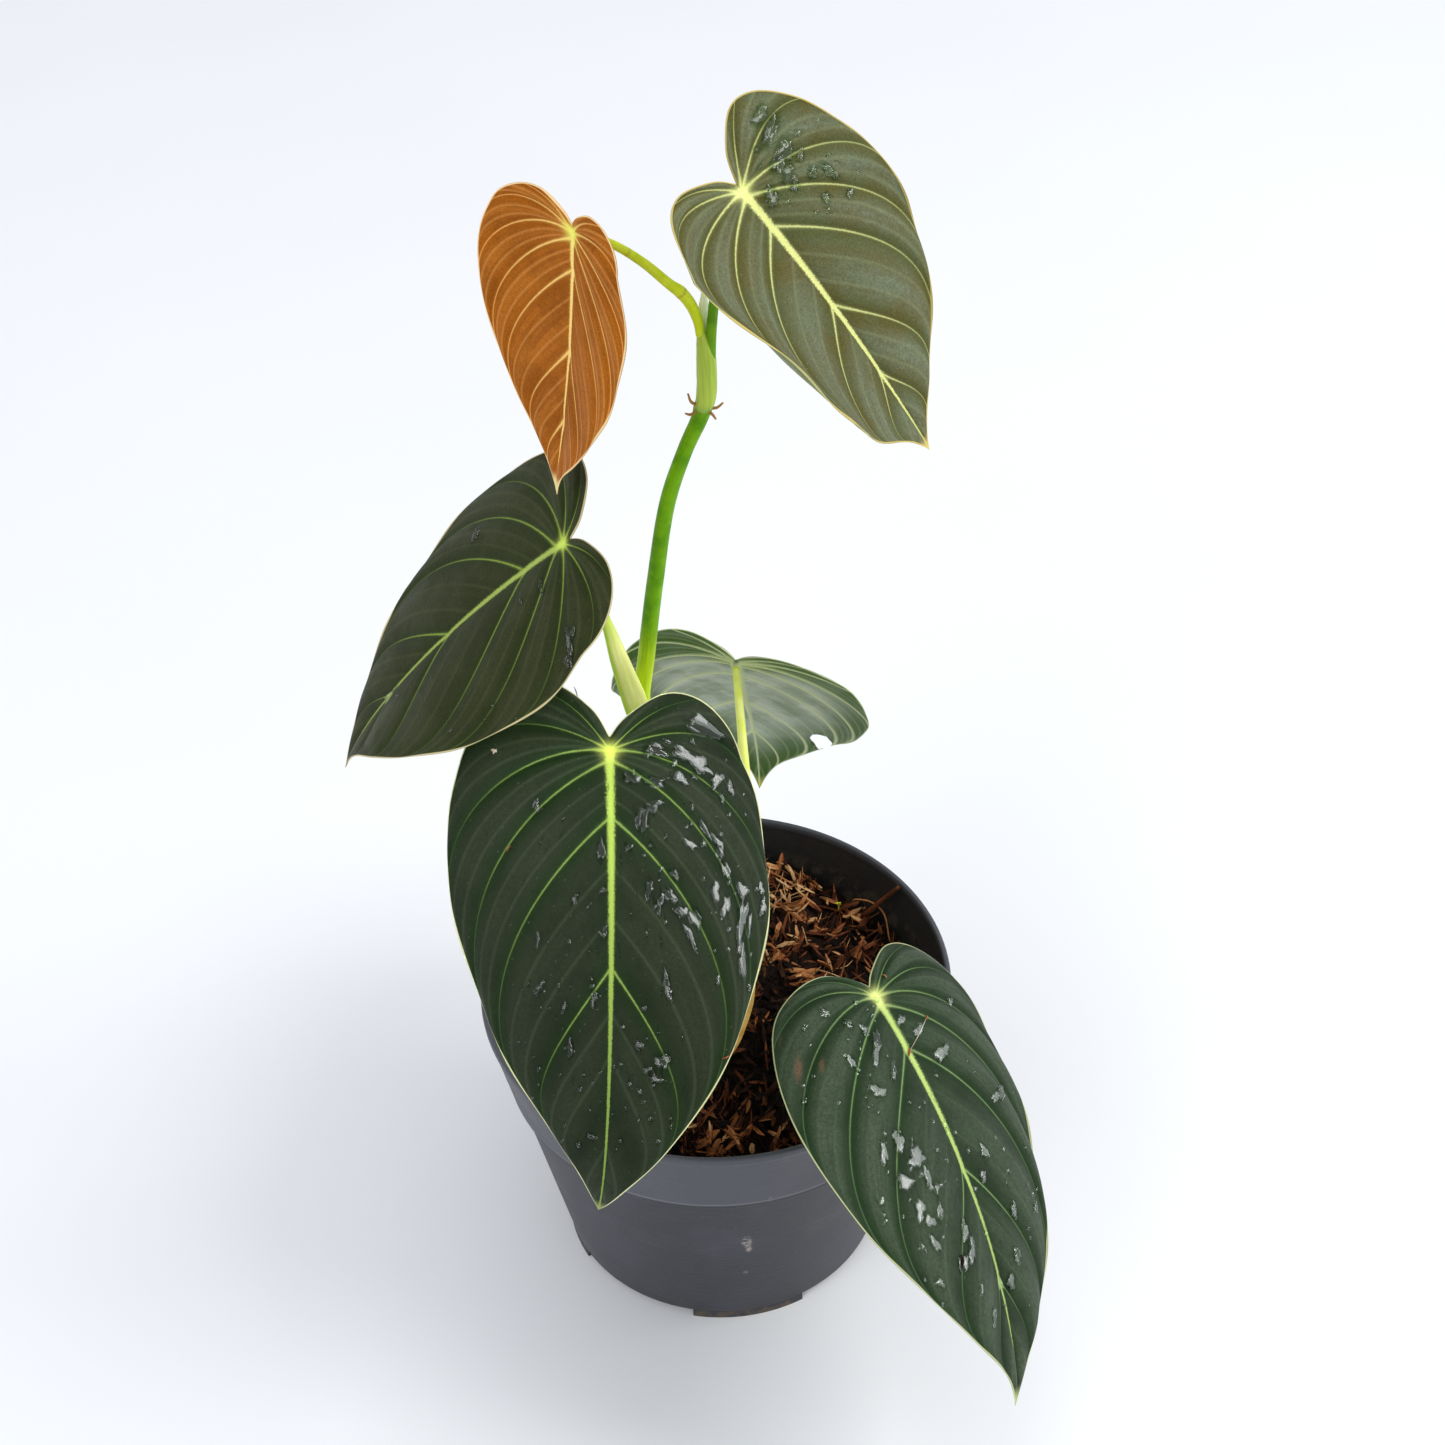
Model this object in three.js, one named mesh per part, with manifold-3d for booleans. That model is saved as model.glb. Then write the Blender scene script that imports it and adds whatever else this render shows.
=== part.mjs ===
// Potted black gold philodendron, millimetres, +Z up.
// The origin is the centre of the pot's underside. The plant faces -Y.
import * as THREE from 'three';
import { mergeVertices } from 'three/addons/utils/BufferGeometryUtils.js';
import Module from 'manifold-3d';

const wasm = await Module();
wasm.setup();

// Nursery pot: a plain tapered body under a deeper, wider rim band
const POT = {
  rimRadius: 75,
  height: 107.6,
  bandFootRadius: 69.3,
  bandFootHeight: 79.1,
  lipDepth: 1.8,
  bodyTopRadius: 67.5,
  bodyFootRadius: 52.4,
  footHeight: 3,
  wall: 1.6,
  rimRoll: 2.2,
  rimEase: 0.3,
  bandEase: 0.5,
  footEase: 0.8,
  shoulderDrop: 1,
  baseThickness: 2,
  sides: 48,
};
const FEET = { count: 4, arcDegrees: 41, firstDegrees: 8.6, width: 6, inset: 0.1, centreRadius: 15 };
const DRAINS = { count: 6, radius: 4, ring: 32, through: 10 };
// Heights inside the pot: its floor, and the shoulder where the wall steps out into the band
const POT_FLOOR = POT.footHeight + POT.baseThickness;
const SHOULDER = POT.bandFootHeight - POT.lipDepth - POT.shoulderDrop;

// Potting mix: shredded bark and fern root, humped round the stems
const MIX = {
  edgeHeight: 91,
  lowestEdge: 87,
  hump: 6,
  belowRim: 1,
  gap: 0.35,
  sides: 32,
  rings: 5,
  chips: 84,
  chipReach: 64,
  chipLength: [8, 18],
  chipWidth: [2, 4.2],
  chipThin: 0.6,
  chipTilt: 0.9,
  chipLift: 0.1,
  seed: 4127,
};
// The bed's relief: a wide hump, a mound and a hollow against the back wall, and ripples over all
const BED = {
  humpMiddle: [-8, 4],
  humpRadius: 66,
  swells: [
    { middle: [8, 56], rise: 6.5, radius: 22 },
    { middle: [38, 42], rise: -3.5, radius: 20 },
  ],
  crossRipple: { rise: 1.1, perMillimetreX: 0.19, perMillimetreY: 0.23, shift: 1 },
  slantRipple: { rise: 0.8, perMillimetre: 0.31 },
};

// Clearance between touching pieces
const SEAT_GAP = 0.3;
const MIX_FLOOR = POT_FLOOR + SEAT_GAP;

// Leaf blades: thickness, relief, the grid that follows the side veins, and the frames of the midrib
const BLADE = {
  thickness: 0.8,
  steps: 5,
  linesPerVein: 3,
  quilting: 0.5,
  edgeWave: 0.8,
  wavesPerMargin: 9,
  lobeShare: 0.12,
  midribStart: -0.4,
  midribSteps: 140,
};

// Half outline of the heart-shaped blade. Along is a fraction of the midrib, 0 at the stalk and
// 1 at the drip tip, and negative in the back lobes. Across is a fraction of the half width.
const HALF_OUTLINE = [
  [-0.03, 0], [-0.075, 0.1], [-0.125, 0.33], [-0.115, 0.56], [-0.055, 0.77], [0.04, 0.9],
  [0.14, 0.975], [0.26, 1], [0.4, 0.965], [0.55, 0.85], [0.7, 0.64], [0.82, 0.38],
  [0.9, 0.17], [0.95, 0.07], [1, 0],
];
// Where each side vein leaves the midrib, and the share of the margin at which it ends
const VEIN_START = [0, 0, 0, 0, 0.02, 0.135, 0.436, 0.7, 1];
const VEIN_END = [0, 0.14, 0.24, 0.42, 0.6, 0.72, 0.82, 0.91, 1];
const VEIN_FAN_DEGREES = 165;

// Each leaf: where the stalk meets the blade, the way the blade points there (heading from -Y
// towards +X, dip below level, roll about the midrib), its length, then for its right and left
// half the width, lobe, fold and cup. The bends are in degrees over the whole blade.
const LEAVES = {
  front: {
    attach: [-27.3, -35, 239.2], heading: 0, dip: 34, roll: -7.5, length: 140,
    bend: 22, droop: 57, swerve: 1.5, twist: -29, belly: -0.06, colour: 0x26342a,
    right: { width: 50.5, lobe: 1.2, fold: -0.8, cup: 37, lobeLift: -4 },
    left: { width: 48, lobe: 0.95, fold: -0.6, cup: 40, lobeLift: 12 },
  },
  low_right: {
    attach: [48.3, -40, 139.6], heading: 32.5, dip: 24.5, roll: -23.5, length: 130,
    bend: 29, droop: 13, swerve: 3.5, twist: 10, belly: -0.01, colour: 0x304834,
    right: { width: 52, lobe: 0.7, fold: 13, cup: 46, lobeLift: 1.5 },
    left: { width: 44, lobe: 0.85, fold: 7.5, cup: 26.5, lobeLift: 0 },
  },
  left: {
    attach: [-37, -25, 305.7], heading: -94, dip: 40, roll: -11, length: 105.5,
    bend: 15, droop: 13, swerve: -7.5, twist: -7, belly: -0.03, colour: 0x2d3026,
    right: { width: 38, lobe: 1.08, fold: 13.5, cup: 17.5, lobeLift: 12 },
    left: { width: 42, lobe: 1.04, fold: 4, cup: 34, lobeLift: -5 },
  },
  top_right: {
    attach: [13.3, -20, 410.7], heading: 77, dip: 51.5, roll: 44.5, length: 87,
    bend: 6, droop: 0, swerve: 7, twist: 28, belly: -0.01, colour: 0x5f624b,
    right: { width: 46.5, lobe: 1.18, fold: 4.5, cup: -76, lobeLift: 8 },
    left: { width: 33, lobe: 1.6, fold: 13.5, cup: 6.5, lobeLift: -5.5 },
  },
  new: {
    attach: [-29.4, -15, 397], heading: -50.5, dip: 87, roll: 9, length: 79,
    bend: -10.5, droop: 6, swerve: 1, twist: -6, belly: -0.03, edgeWave: 0.2, colour: 0xa56223,
    right: { width: 31.5, lobe: 0.9, fold: 10.5, cup: -26, lobeLift: 2.5 },
    left: { width: 29, lobe: 1, fold: 13, cup: 24, lobeLift: -5 },
  },
  back: {
    attach: [9.4, 60, 188.3], heading: 175.7, dip: 53, roll: 6.5, length: 121,
    bend: 6.5, droop: 39, swerve: 5.5, twist: -6, belly: -0.04, colour: 0x788c78,
    right: { width: 44, lobe: 1.08, fold: 0.2, cup: 19, lobeLift: -1 },
    left: { width: 43.5, lobe: 1.34, fold: 12, cup: 49.5, lobeLift: 8.5 },
    bite: { along: 0.668, across: 0.205, alongRadius: 9, acrossRadius: 3.9, through: 8 },
  },
};

// Stem and stalks: centre line points with the half widths there, side to side and front to back
const STEM = {
  path: [
    [-3, 9, 62], [-4, 8, 92], [-9, 5, 130], [-16, 1, 175], [-19.3, 0, 222], [-16.8, 0, 244],
    [-13.2, 0, 272], [-8.7, 0, 300], [-3.5, 0, 317], [1.8, 0, 331], [2.7, 0.8, 339],
    [3, 1.2, 350], [3, 1.3, 360], [2.9, 1.4, 368],
  ],
  wide: [3.2, 3.2, 3.1, 2.9, 2.6, 2.5, 2.4, 2.35, 2.35, 2.9, 2.75, 2.6, 1.9, 0.7],
  deep: [3.2, 3.2, 3.1, 2.9, 2.6, 2.5, 2.4, 2.35, 2.35, 2.5, 1.4, 1.1, 0.9, 0.6],
  sides: 10,
};
const ROOT_NUBS = [
  { from: [0.4, -0.8, 333.2], to: [-2.2, -2.2, 337.4] },
  { from: [0.4, -0.8, 331], to: [-2.9, -2.4, 331] },
  { from: [3.2, -0.6, 332.4], to: [7.1, -2, 335.4] },
  { from: [2.8, -1.2, 330.8], to: [5.4, -3.4, 330.4] },
];
const NUB_GIRTH = [0.9, 0.8, 0.45];

const STALKS = {
  front: {
    path: [
      [-9.5, -0.4, 133], [-11.5, -5, 152], [-15, -11, 185], [-20, -19.5, 214], [-27.4, -34.3, 238.1],
    ],
    wide: [3.4, 3.2, 2.2, 1.7, 1.2], deep: [1.8, 1.7, 1.7, 1.6, 1.2],
  },
  low_right: {
    path: [[22, -2, 66], [26, -4, 92], [34, -12, 113], [43, -29, 129], [47.6, -39.8, 138.5]],
    wide: [1.9, 1.9, 1.7, 1.5, 1.1], deep: [1.9, 1.9, 1.7, 1.5, 1.1],
  },
  left: {
    path: [
      [-21, -4.3, 226], [-22.5, -5.6, 234], [-25, -7.4, 249], [-27.4, -10.2, 266],
      [-32, -16, 287], [-36.1, -24.8, 304.8],
    ],
    wide: [3.6, 3.7, 2.9, 1.5, 1.35, 1.1], deep: [1.6, 1.6, 1.5, 1.35, 1.3, 1.1],
  },
  top_right: {
    path: [
      [4.3, -2.05, 338.5], [4.35, -1.7, 350], [4.9, -1.6, 360], [6.6, -2, 374], [9, -3.8, 388],
      [11.4, -8.5, 401], [12.8, -19, 410.2],
    ],
    wide: [1.3, 1.35, 1.35, 1.35, 1.3, 1.25, 1.1], deep: [1.3, 1.35, 1.35, 1.35, 1.3, 1.25, 1.1],
  },
  new: {
    path: [
      [1.6, -1.1, 355.5], [1.2, -1.4, 360], [-0.6, -2.5, 366.2], [-3.1, -3.6, 370.8],
      [-5.7, -4.8, 374], [-12.4, -8.4, 383.4], [-19.5, -11.6, 391], [-28.3, -14.4, 396.9],
    ],
    wide: [1.1, 1.35, 1.5, 1.55, 1.35, 1.25, 1.15, 0.95],
    deep: [1.1, 1.35, 1.5, 1.55, 1.35, 1.25, 1.15, 0.95],
  },
  back: {
    path: [
      [5, 13, 64], [5.5, 14, 96], [9, 19, 128], [11.6, 30, 152], [10.6, 44, 171], [9.2, 59, 187.5],
    ],
    wide: [2, 2, 1.8, 1.6, 1.45, 1.2], deep: [2, 2, 1.8, 1.6, 1.45, 1.2],
  },
};
const STALK_SIDES = 8;
// Rings of a stem or stalk between two points of its centre line
const ROD_STEPS = 3;

const DRIED_SHEATH = {
  path: [
    [0.6, -31, 96], [3.2, -28.6, 101.6], [6.2, -25.5, 106.2], [8.4, -22.5, 112],
    [10.1, -20, 118.4], [11.2, -17.5, 127], [11.8, -14.5, 143],
  ],
  wide: [0.9, 1.5, 1.9, 2, 1.8, 1.4, 0.6], deep: [0.4, 0.5, 0.5, 0.5, 0.5, 0.45, 0.35],
};

const COLOURS = {
  pot: 0x3c3c40, mix: 0x4a2c1a, stem: 0x5f9e1e, stalk: 0x9cc63a, dried: 0xc88a3c,
};

const radians = THREE.MathUtils.degToRad;
const vector = (point) => new THREE.Vector3(...point);

// A repeatable draw between 0 and 1
function seededDraw(seed) {
  let state = seed >>> 0;
  return () => {
    state = (state * 1664525 + 1013904223) >>> 0;
    return state / 4294967296;
  };
}

// Closed indexed geometry with shared corners and no collapsed triangles
function closedGeometry(positions, triangles) {
  const loose = new THREE.BufferGeometry();
  loose.setAttribute('position', new THREE.Float32BufferAttribute(positions, 3));
  loose.setIndex(triangles);
  const merged = mergeVertices(loose, 1e-4);
  const index = merged.index.array;
  const kept = [];
  for (let k = 0; k < index.length; k += 3) {
    const [a, b, c] = [index[k], index[k + 1], index[k + 2]];
    if (a !== b && b !== c && a !== c) kept.push(a, b, c);
  }
  merged.setIndex(kept);
  return merged;
}

function solidFrom(geometry) {
  const bare = geometry.clone();
  bare.deleteAttribute('normal');
  bare.deleteAttribute('uv');
  const index = bare.index ? bare.index.array : [...Array(bare.attributes.position.count).keys()];
  const clean = closedGeometry(bare.attributes.position.array, Array.from(index));
  return new wasm.Manifold(new wasm.Mesh({
    numProp: 3,
    vertProperties: clean.attributes.position.array,
    triVerts: new Uint32Array(clean.index.array),
  }));
}

function geometryFrom(solid) {
  const mesh = solid.getMesh();
  return closedGeometry(mesh.vertProperties, Array.from(mesh.triVerts));
}

function joined(solids) {
  return solids.reduce((whole, solid) => whole.add(solid));
}

// A closed solid turned round Z from [radius, height] corners that start and end on the axis
function turned(corners, sides) {
  const profile = corners.map(([r, z]) => new THREE.Vector2(r, z));
  const geometry = new THREE.LatheGeometry(profile, sides);
  geometry.rotateX(Math.PI / 2);
  return solidFrom(geometry);
}

// A tapering closed rod along a smooth line, oval where the two half widths differ
function rod(path, wide, deep, sides, grow = 0) {
  const knots = path.map(vector);
  knots[0].addScaledVector(knots[0].clone().sub(knots[1]).normalize(), grow);
  const curve = new THREE.CatmullRomCurve3(knots, false, 'centripetal');
  const last = path.length - 1;
  const steps = last * ROD_STEPS;
  const positions = [];
  const triangles = [];
  for (let k = 0; k <= steps; k += 1) {
    const share = k / steps;
    const place = curve.getPoint(share);
    const ahead = curve.getTangent(share).normalize();
    const side = new THREE.Vector3(1, 0, 0).addScaledVector(ahead, -ahead.x).normalize();
    const back = new THREE.Vector3().crossVectors(ahead, side);
    const knot = Math.min(Math.floor(share * last), last - 1);
    const part = share * last - knot;
    const halfWide = THREE.MathUtils.lerp(wide[knot], wide[knot + 1], part) + grow;
    const halfDeep = THREE.MathUtils.lerp(deep[knot], deep[knot + 1], part) + grow;
    for (let s = 0; s < sides; s += 1) {
      const turn = (2 * Math.PI * s) / sides;
      const corner = place.clone()
        .addScaledVector(side, halfWide * Math.cos(turn))
        .addScaledVector(back, halfDeep * Math.sin(turn));
      positions.push(corner.x, corner.y, corner.z);
    }
  }
  for (let k = 0; k < steps; k += 1) {
    for (let s = 0; s < sides; s += 1) {
      const next = (s + 1) % sides;
      const [a, b] = [k * sides + s, k * sides + next];
      const [c, d] = [a + sides, b + sides];
      triangles.push(a, b, d, a, d, c);
    }
  }
  const top = steps * sides;
  for (let s = 1; s < sides - 1; s += 1) {
    triangles.push(0, s + 1, s);
    triangles.push(top, top + s, top + s + 1);
  }
  return solidFrom(closedGeometry(positions, triangles));
}

// Pot
function potSolid() {
  const p = POT;
  const bandInner = p.bandFootRadius - p.wall;
  const bodyInner = p.bodyTopRadius - p.wall;
  const footInner = p.bodyFootRadius - p.wall;
  const shell = turned([
    [0, p.footHeight],
    [p.bodyFootRadius - p.footEase, p.footHeight],
    [p.bodyFootRadius, p.footHeight + p.footEase],
    [p.bodyTopRadius, p.bandFootHeight - p.lipDepth],
    [p.bandFootRadius - p.bandEase, p.bandFootHeight - p.lipDepth],
    [p.bandFootRadius, p.bandFootHeight],
    [p.rimRadius - p.bandEase, p.height - p.rimRoll],
    [p.rimRadius, p.height - 0.6 * p.rimRoll],
    [p.rimRadius - p.rimEase, p.height - p.rimEase],
    [p.rimRadius - 3 * p.rimEase, p.height],
    [p.rimRadius - p.wall, p.height - p.rimEase],
    [p.rimRadius - p.wall - p.rimEase, p.height - p.rimRoll],
    [bandInner, p.bandFootHeight],
    [bodyInner, SHOULDER],
    [footInner, POT_FLOOR],
    [0, POT_FLOOR],
  ], p.sides);
  const foot = footSolids();
  const drains = drainHoles();
  return joined([shell, ...foot]).subtract(joined(drains));
}

function footSolids() {
  const outer = POT.bodyFootRadius - FEET.inset;
  const sunk = POT.footHeight + 0.5 * POT.baseThickness;
  const feet = [turned([[0, 0], [FEET.centreRadius, 0], [FEET.centreRadius, sunk], [0, sunk]], 24)];
  for (let k = 0; k < FEET.count; k += 1) {
    const middle = radians(FEET.firstDegrees - 90 + (360 / FEET.count) * k);
    const half = radians(FEET.arcDegrees / 2);
    const arc = new THREE.Shape();
    arc.absarc(0, 0, outer, middle - half, middle + half, false);
    arc.absarc(0, 0, outer - FEET.width, middle + half, middle - half, true);
    feet.push(solidFrom(new THREE.ExtrudeGeometry(arc, {
      depth: sunk, bevelEnabled: false, curveSegments: 8,
    })));
  }
  return feet;
}

function drainHoles() {
  const holes = [];
  for (let k = 0; k < DRAINS.count; k += 1) {
    const turn = radians((360 / DRAINS.count) * (k + 0.5));
    const hole = new THREE.CylinderGeometry(DRAINS.radius, DRAINS.radius, DRAINS.through, 12);
    hole.rotateX(Math.PI / 2);
    hole.translate(DRAINS.ring * Math.cos(turn), DRAINS.ring * Math.sin(turn), POT.footHeight);
    holes.push(solidFrom(hole));
  }
  return holes;
}

// Potting mix
function innerWallRadius(z) {
  if (z <= SHOULDER) {
    const share = (z - POT_FLOOR) / (SHOULDER - POT_FLOOR);
    return THREE.MathUtils.lerp(POT.bodyFootRadius, POT.bodyTopRadius, share) - POT.wall;
  }
  const share = (z - POT.bandFootHeight) / (POT.height - POT.bandFootHeight);
  const band = THREE.MathUtils.lerp(POT.bandFootRadius, POT.rimRadius - POT.rimEase, Math.max(share, 0));
  return band - POT.wall;
}

function mixHeight(x, y) {
  const [middleX, middleY] = BED.humpMiddle;
  const reach = Math.min(Math.hypot(x - middleX, y - middleY) / BED.humpRadius, 1);
  const cross = BED.crossRipple;
  const slant = BED.slantRipple;
  const ripples = cross.rise * Math.sin(x * cross.perMillimetreX + cross.shift)
    * Math.cos(y * cross.perMillimetreY)
    + slant.rise * Math.sin((x - y) * slant.perMillimetre);
  const swells = BED.swells.reduce((sum, { middle, rise, radius }) => {
    const away = Math.hypot(x - middle[0], y - middle[1]) / radius;
    return sum + rise * Math.exp(-(away ** 2));
  }, 0);
  return MIX.edgeHeight + MIX.hump * (1 - reach * reach) + ripples + swells;
}

function mixCore() {
  const positions = [];
  const triangles = [];
  const rows = [];
  const addRow = (radius, heightAt) => {
    const row = positions.length / 3;
    for (let s = 0; s < MIX.sides; s += 1) {
      const turn = (2 * Math.PI * s) / MIX.sides;
      const [x, y] = [radius * Math.cos(turn), radius * Math.sin(turn)];
      positions.push(x, y, heightAt(x, y));
    }
    rows.push(row);
  };
  const wallRow = (z) => addRow(innerWallRadius(z) - MIX.gap, () => z);
  [MIX_FLOOR, SHOULDER, POT.bandFootHeight].forEach(wallRow);
  const rim = innerWallRadius(MIX.lowestEdge) - MIX.gap;
  for (let k = 0; k < MIX.rings; k += 1) {
    const share = 1 - k / MIX.rings;
    addRow(rim * share, mixHeight);
  }
  rows.slice(0, -1).forEach((row, k) => {
    for (let s = 0; s < MIX.sides; s += 1) {
      const next = (s + 1) % MIX.sides;
      const above = rows[k + 1];
      triangles.push(row + s, row + next, above + next, row + s, above + next, above + s);
    }
  });
  const crown = positions.length / 3;
  positions.push(0, 0, mixHeight(0, 0), 0, 0, MIX_FLOOR);
  const lastRow = rows[rows.length - 1];
  for (let s = 0; s < MIX.sides; s += 1) {
    const next = (s + 1) % MIX.sides;
    triangles.push(lastRow + s, lastRow + next, crown);
    triangles.push(rows[0] + next, rows[0] + s, crown + 1);
  }
  return solidFrom(closedGeometry(positions, triangles));
}

function mixChips() {
  const draw = seededDraw(MIX.seed);
  const between = ([low, high]) => low + (high - low) * draw();
  const chips = [];
  for (let k = 0; k < MIX.chips; k += 1) {
    const length = between(MIX.chipLength);
    const width = between(MIX.chipWidth);
    const chip = new THREE.BoxGeometry(length, width, MIX.chipThin * width);
    chip.rotateX(draw() * Math.PI);
    chip.rotateY((draw() - 0.5) * MIX.chipTilt);
    chip.rotateZ(draw() * 2 * Math.PI);
    const radius = MIX.chipReach * Math.sqrt(draw());
    const turn = draw() * 2 * Math.PI;
    const [x, y] = [radius * Math.cos(turn), radius * Math.sin(turn)];
    chip.translate(x, y, mixHeight(x, y) + MIX.chipLift * width);
    chips.push(solidFrom(chip));
  }
  return chips;
}

function mixSolid(buried) {
  const bed = joined([mixCore(), ...mixChips()]);
  const top = POT.height + MIX.hump;
  const underRim = POT.height - POT.rimRoll - MIX.belowRim;
  const underRimRadius = innerWallRadius(underRim) - 2 * MIX.gap;
  const inside = turned([
    [0, MIX_FLOOR],
    [innerWallRadius(MIX_FLOOR) - MIX.gap, MIX_FLOOR],
    [innerWallRadius(SHOULDER) - MIX.gap, SHOULDER],
    [innerWallRadius(POT.bandFootHeight) - MIX.gap, POT.bandFootHeight],
    [underRimRadius, underRim],
    [underRimRadius, top],
    [0, top],
  ], POT.sides);
  const bored = bed.intersect(inside).subtract(joined(buried));
  const bodies = bored.decompose();
  return bodies.reduce((best, body) => (body.volume() > best.volume() ? body : best));
}

// Leaf blades
function outlineCurve(leaf, half) {
  const points = HALF_OUTLINE.map(([along, across], k) => {
    const belly = along > 0 ? leaf.belly * Math.sin(Math.PI * along) : 0;
    const stretch = along < 0 && k > 0 ? half.lobe : 1;
    return new THREE.Vector2(along * stretch + belly, (across * half.width) / leaf.length);
  });
  return new THREE.SplineCurve(points);
}

// Frames along the midrib, from behind the stalk to the tip
function midribFrames(leaf) {
  const [heading, dip, roll] = [leaf.heading, leaf.dip, leaf.roll].map(radians);
  const ahead = new THREE.Vector3(
    Math.cos(dip) * Math.sin(heading), -Math.cos(dip) * Math.cos(heading), -Math.sin(dip),
  );
  const level = new THREE.Vector3(
    Math.sin(dip) * Math.sin(heading), -Math.sin(dip) * Math.cos(heading), Math.cos(dip),
  );
  const across = new THREE.Vector3().crossVectors(ahead, level);
  const up = level.clone().multiplyScalar(Math.cos(roll)).addScaledVector(across, Math.sin(roll));
  const side = new THREE.Vector3().crossVectors(ahead, up);
  const from = BLADE.midribStart;
  const count = BLADE.midribSteps;
  const step = (1 - from) / count;
  const frames = [];
  for (let k = 0; k <= count; k += 1) {
    const u = from + step * k;
    const bend = radians(leaf.bend) * u + radians(leaf.droop) * Math.max(u, 0) ** 5;
    const swerve = radians(leaf.swerve) * u;
    const twist = radians(leaf.twist) * u;
    const falling = ahead.clone().multiplyScalar(Math.cos(bend)).addScaledVector(up, -Math.sin(bend));
    const tangent = falling.clone().multiplyScalar(Math.cos(swerve))
      .addScaledVector(side, Math.sin(swerve));
    const flat = side.clone().multiplyScalar(Math.cos(swerve))
      .addScaledVector(falling, -Math.sin(swerve));
    const raised = new THREE.Vector3().crossVectors(flat, tangent);
    const right = flat.multiplyScalar(Math.cos(twist)).addScaledVector(raised, Math.sin(twist));
    const normal = new THREE.Vector3().crossVectors(right, tangent);
    frames.push({ u, tangent, right, normal });
  }
  const start = Math.round(-from / step);
  frames[start].place = new THREE.Vector3();
  const walk = (k, towards) => {
    const middle = frames[k].tangent.clone().add(frames[k - towards].tangent).multiplyScalar(0.5);
    const reach = towards * step * leaf.length;
    frames[k].place = frames[k - towards].place.clone().addScaledVector(middle, reach);
  };
  for (let k = start + 1; k <= count; k += 1) walk(k, 1);
  for (let k = start - 1; k >= 0; k -= 1) walk(k, -1);
  return (u) => {
    const spot = THREE.MathUtils.clamp((u - from) / step, 0, count - 1e-6);
    const [low, part] = [Math.floor(spot), spot % 1];
    const mix = (name) => frames[low][name].clone().lerp(frames[low + 1][name], part);
    return { place: mix('place'), right: mix('right'), normal: mix('normal') };
  };
}

// The blade's middle surface at a share along the midrib and a share of the length across it
function bladeSurface(leaf) {
  const frameAt = midribFrames(leaf);
  return (half, sign, along, across) => {
    const frame = frameAt(along);
    const reach = across * leaf.length;
    const lift = half.lobeLift * THREE.MathUtils.clamp(-along / BLADE.lobeShare, 0, 2);
    const fold = radians(half.fold + lift);
    const curl = radians(half.cup) / half.width;
    const outward = (Math.sin(fold) - Math.sin(fold - curl * reach)) / curl;
    const rise = (Math.cos(fold - curl * reach) - Math.cos(fold)) / curl;
    return frame.place
      .addScaledVector(frame.right, sign * outward)
      .addScaledVector(frame.normal, rise);
  };
}

// Where a side vein numbered v, whole or between two, runs over the half blade
function veinLine(outline, v) {
  const low = Math.min(Math.floor(v), VEIN_START.length - 2);
  const part = v - low;
  const start = THREE.MathUtils.lerp(VEIN_START[low], VEIN_START[low + 1], part);
  const share = THREE.MathUtils.lerp(VEIN_END[low], VEIN_END[low + 1], part);
  const end = outline.getPointAt(share);
  const begin = new THREE.Vector2(start, 0);
  const turn = radians(180 - VEIN_FAN_DEGREES * share);
  const reach = 0.5 * begin.distanceTo(end);
  const bow = begin.clone().add(new THREE.Vector2(Math.cos(turn), Math.sin(turn)).multiplyScalar(reach));
  return { line: new THREE.QuadraticBezierCurve(begin, bow, end), share };
}

function bladeSolid(leaf) {
  const surface = bladeSurface(leaf);
  const lines = (VEIN_START.length - 1) * BLADE.linesPerVein;
  const halves = [{ shape: leaf.right, sign: 1 }, { shape: leaf.left, sign: -1 }];
  const top = [];
  const under = [];
  const spots = halves.map(({ shape, sign }) => {
    const outline = outlineCurve(leaf, shape);
    const rows = [];
    for (let n = 0; n <= lines; n += 1) {
      const { line, share } = veinLine(outline, n / BLADE.linesPerVein);
      const row = [];
      for (let k = 0; k <= BLADE.steps; k += 1) {
        const spread = k / BLADE.steps;
        const { x, y } = line.getPoint(spread);
        row.push(bladeCorner(leaf, shape, sign, surface, { x, y, n, share, spread }, top, under));
      }
      rows.push(row);
    }
    return rows;
  });
  const triangles = [];
  const count = top.length / 3;
  const face = (a, b, c) => triangles.push(a, b, c, count + a, count + c, count + b);
  spots.forEach((rows, h) => {
    const quad = h === 0
      ? (a, b, c, d) => { face(a, b, c); face(a, c, d); }
      : (a, b, c, d) => { face(c, b, a); face(d, c, a); };
    for (let n = 0; n < lines; n += 1) {
      for (let k = 0; k < BLADE.steps; k += 1) {
        quad(rows[n][k], rows[n][k + 1], rows[n + 1][k + 1], rows[n + 1][k]);
      }
      const [a, b] = [rows[n][BLADE.steps], rows[n + 1][BLADE.steps]];
      if (h === 0) triangles.push(a, count + a, b, b, count + a, count + b);
      else triangles.push(b, count + a, a, count + b, count + a, b);
    }
  });
  return solidFrom(closedGeometry([...top, ...under], triangles));
}

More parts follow.
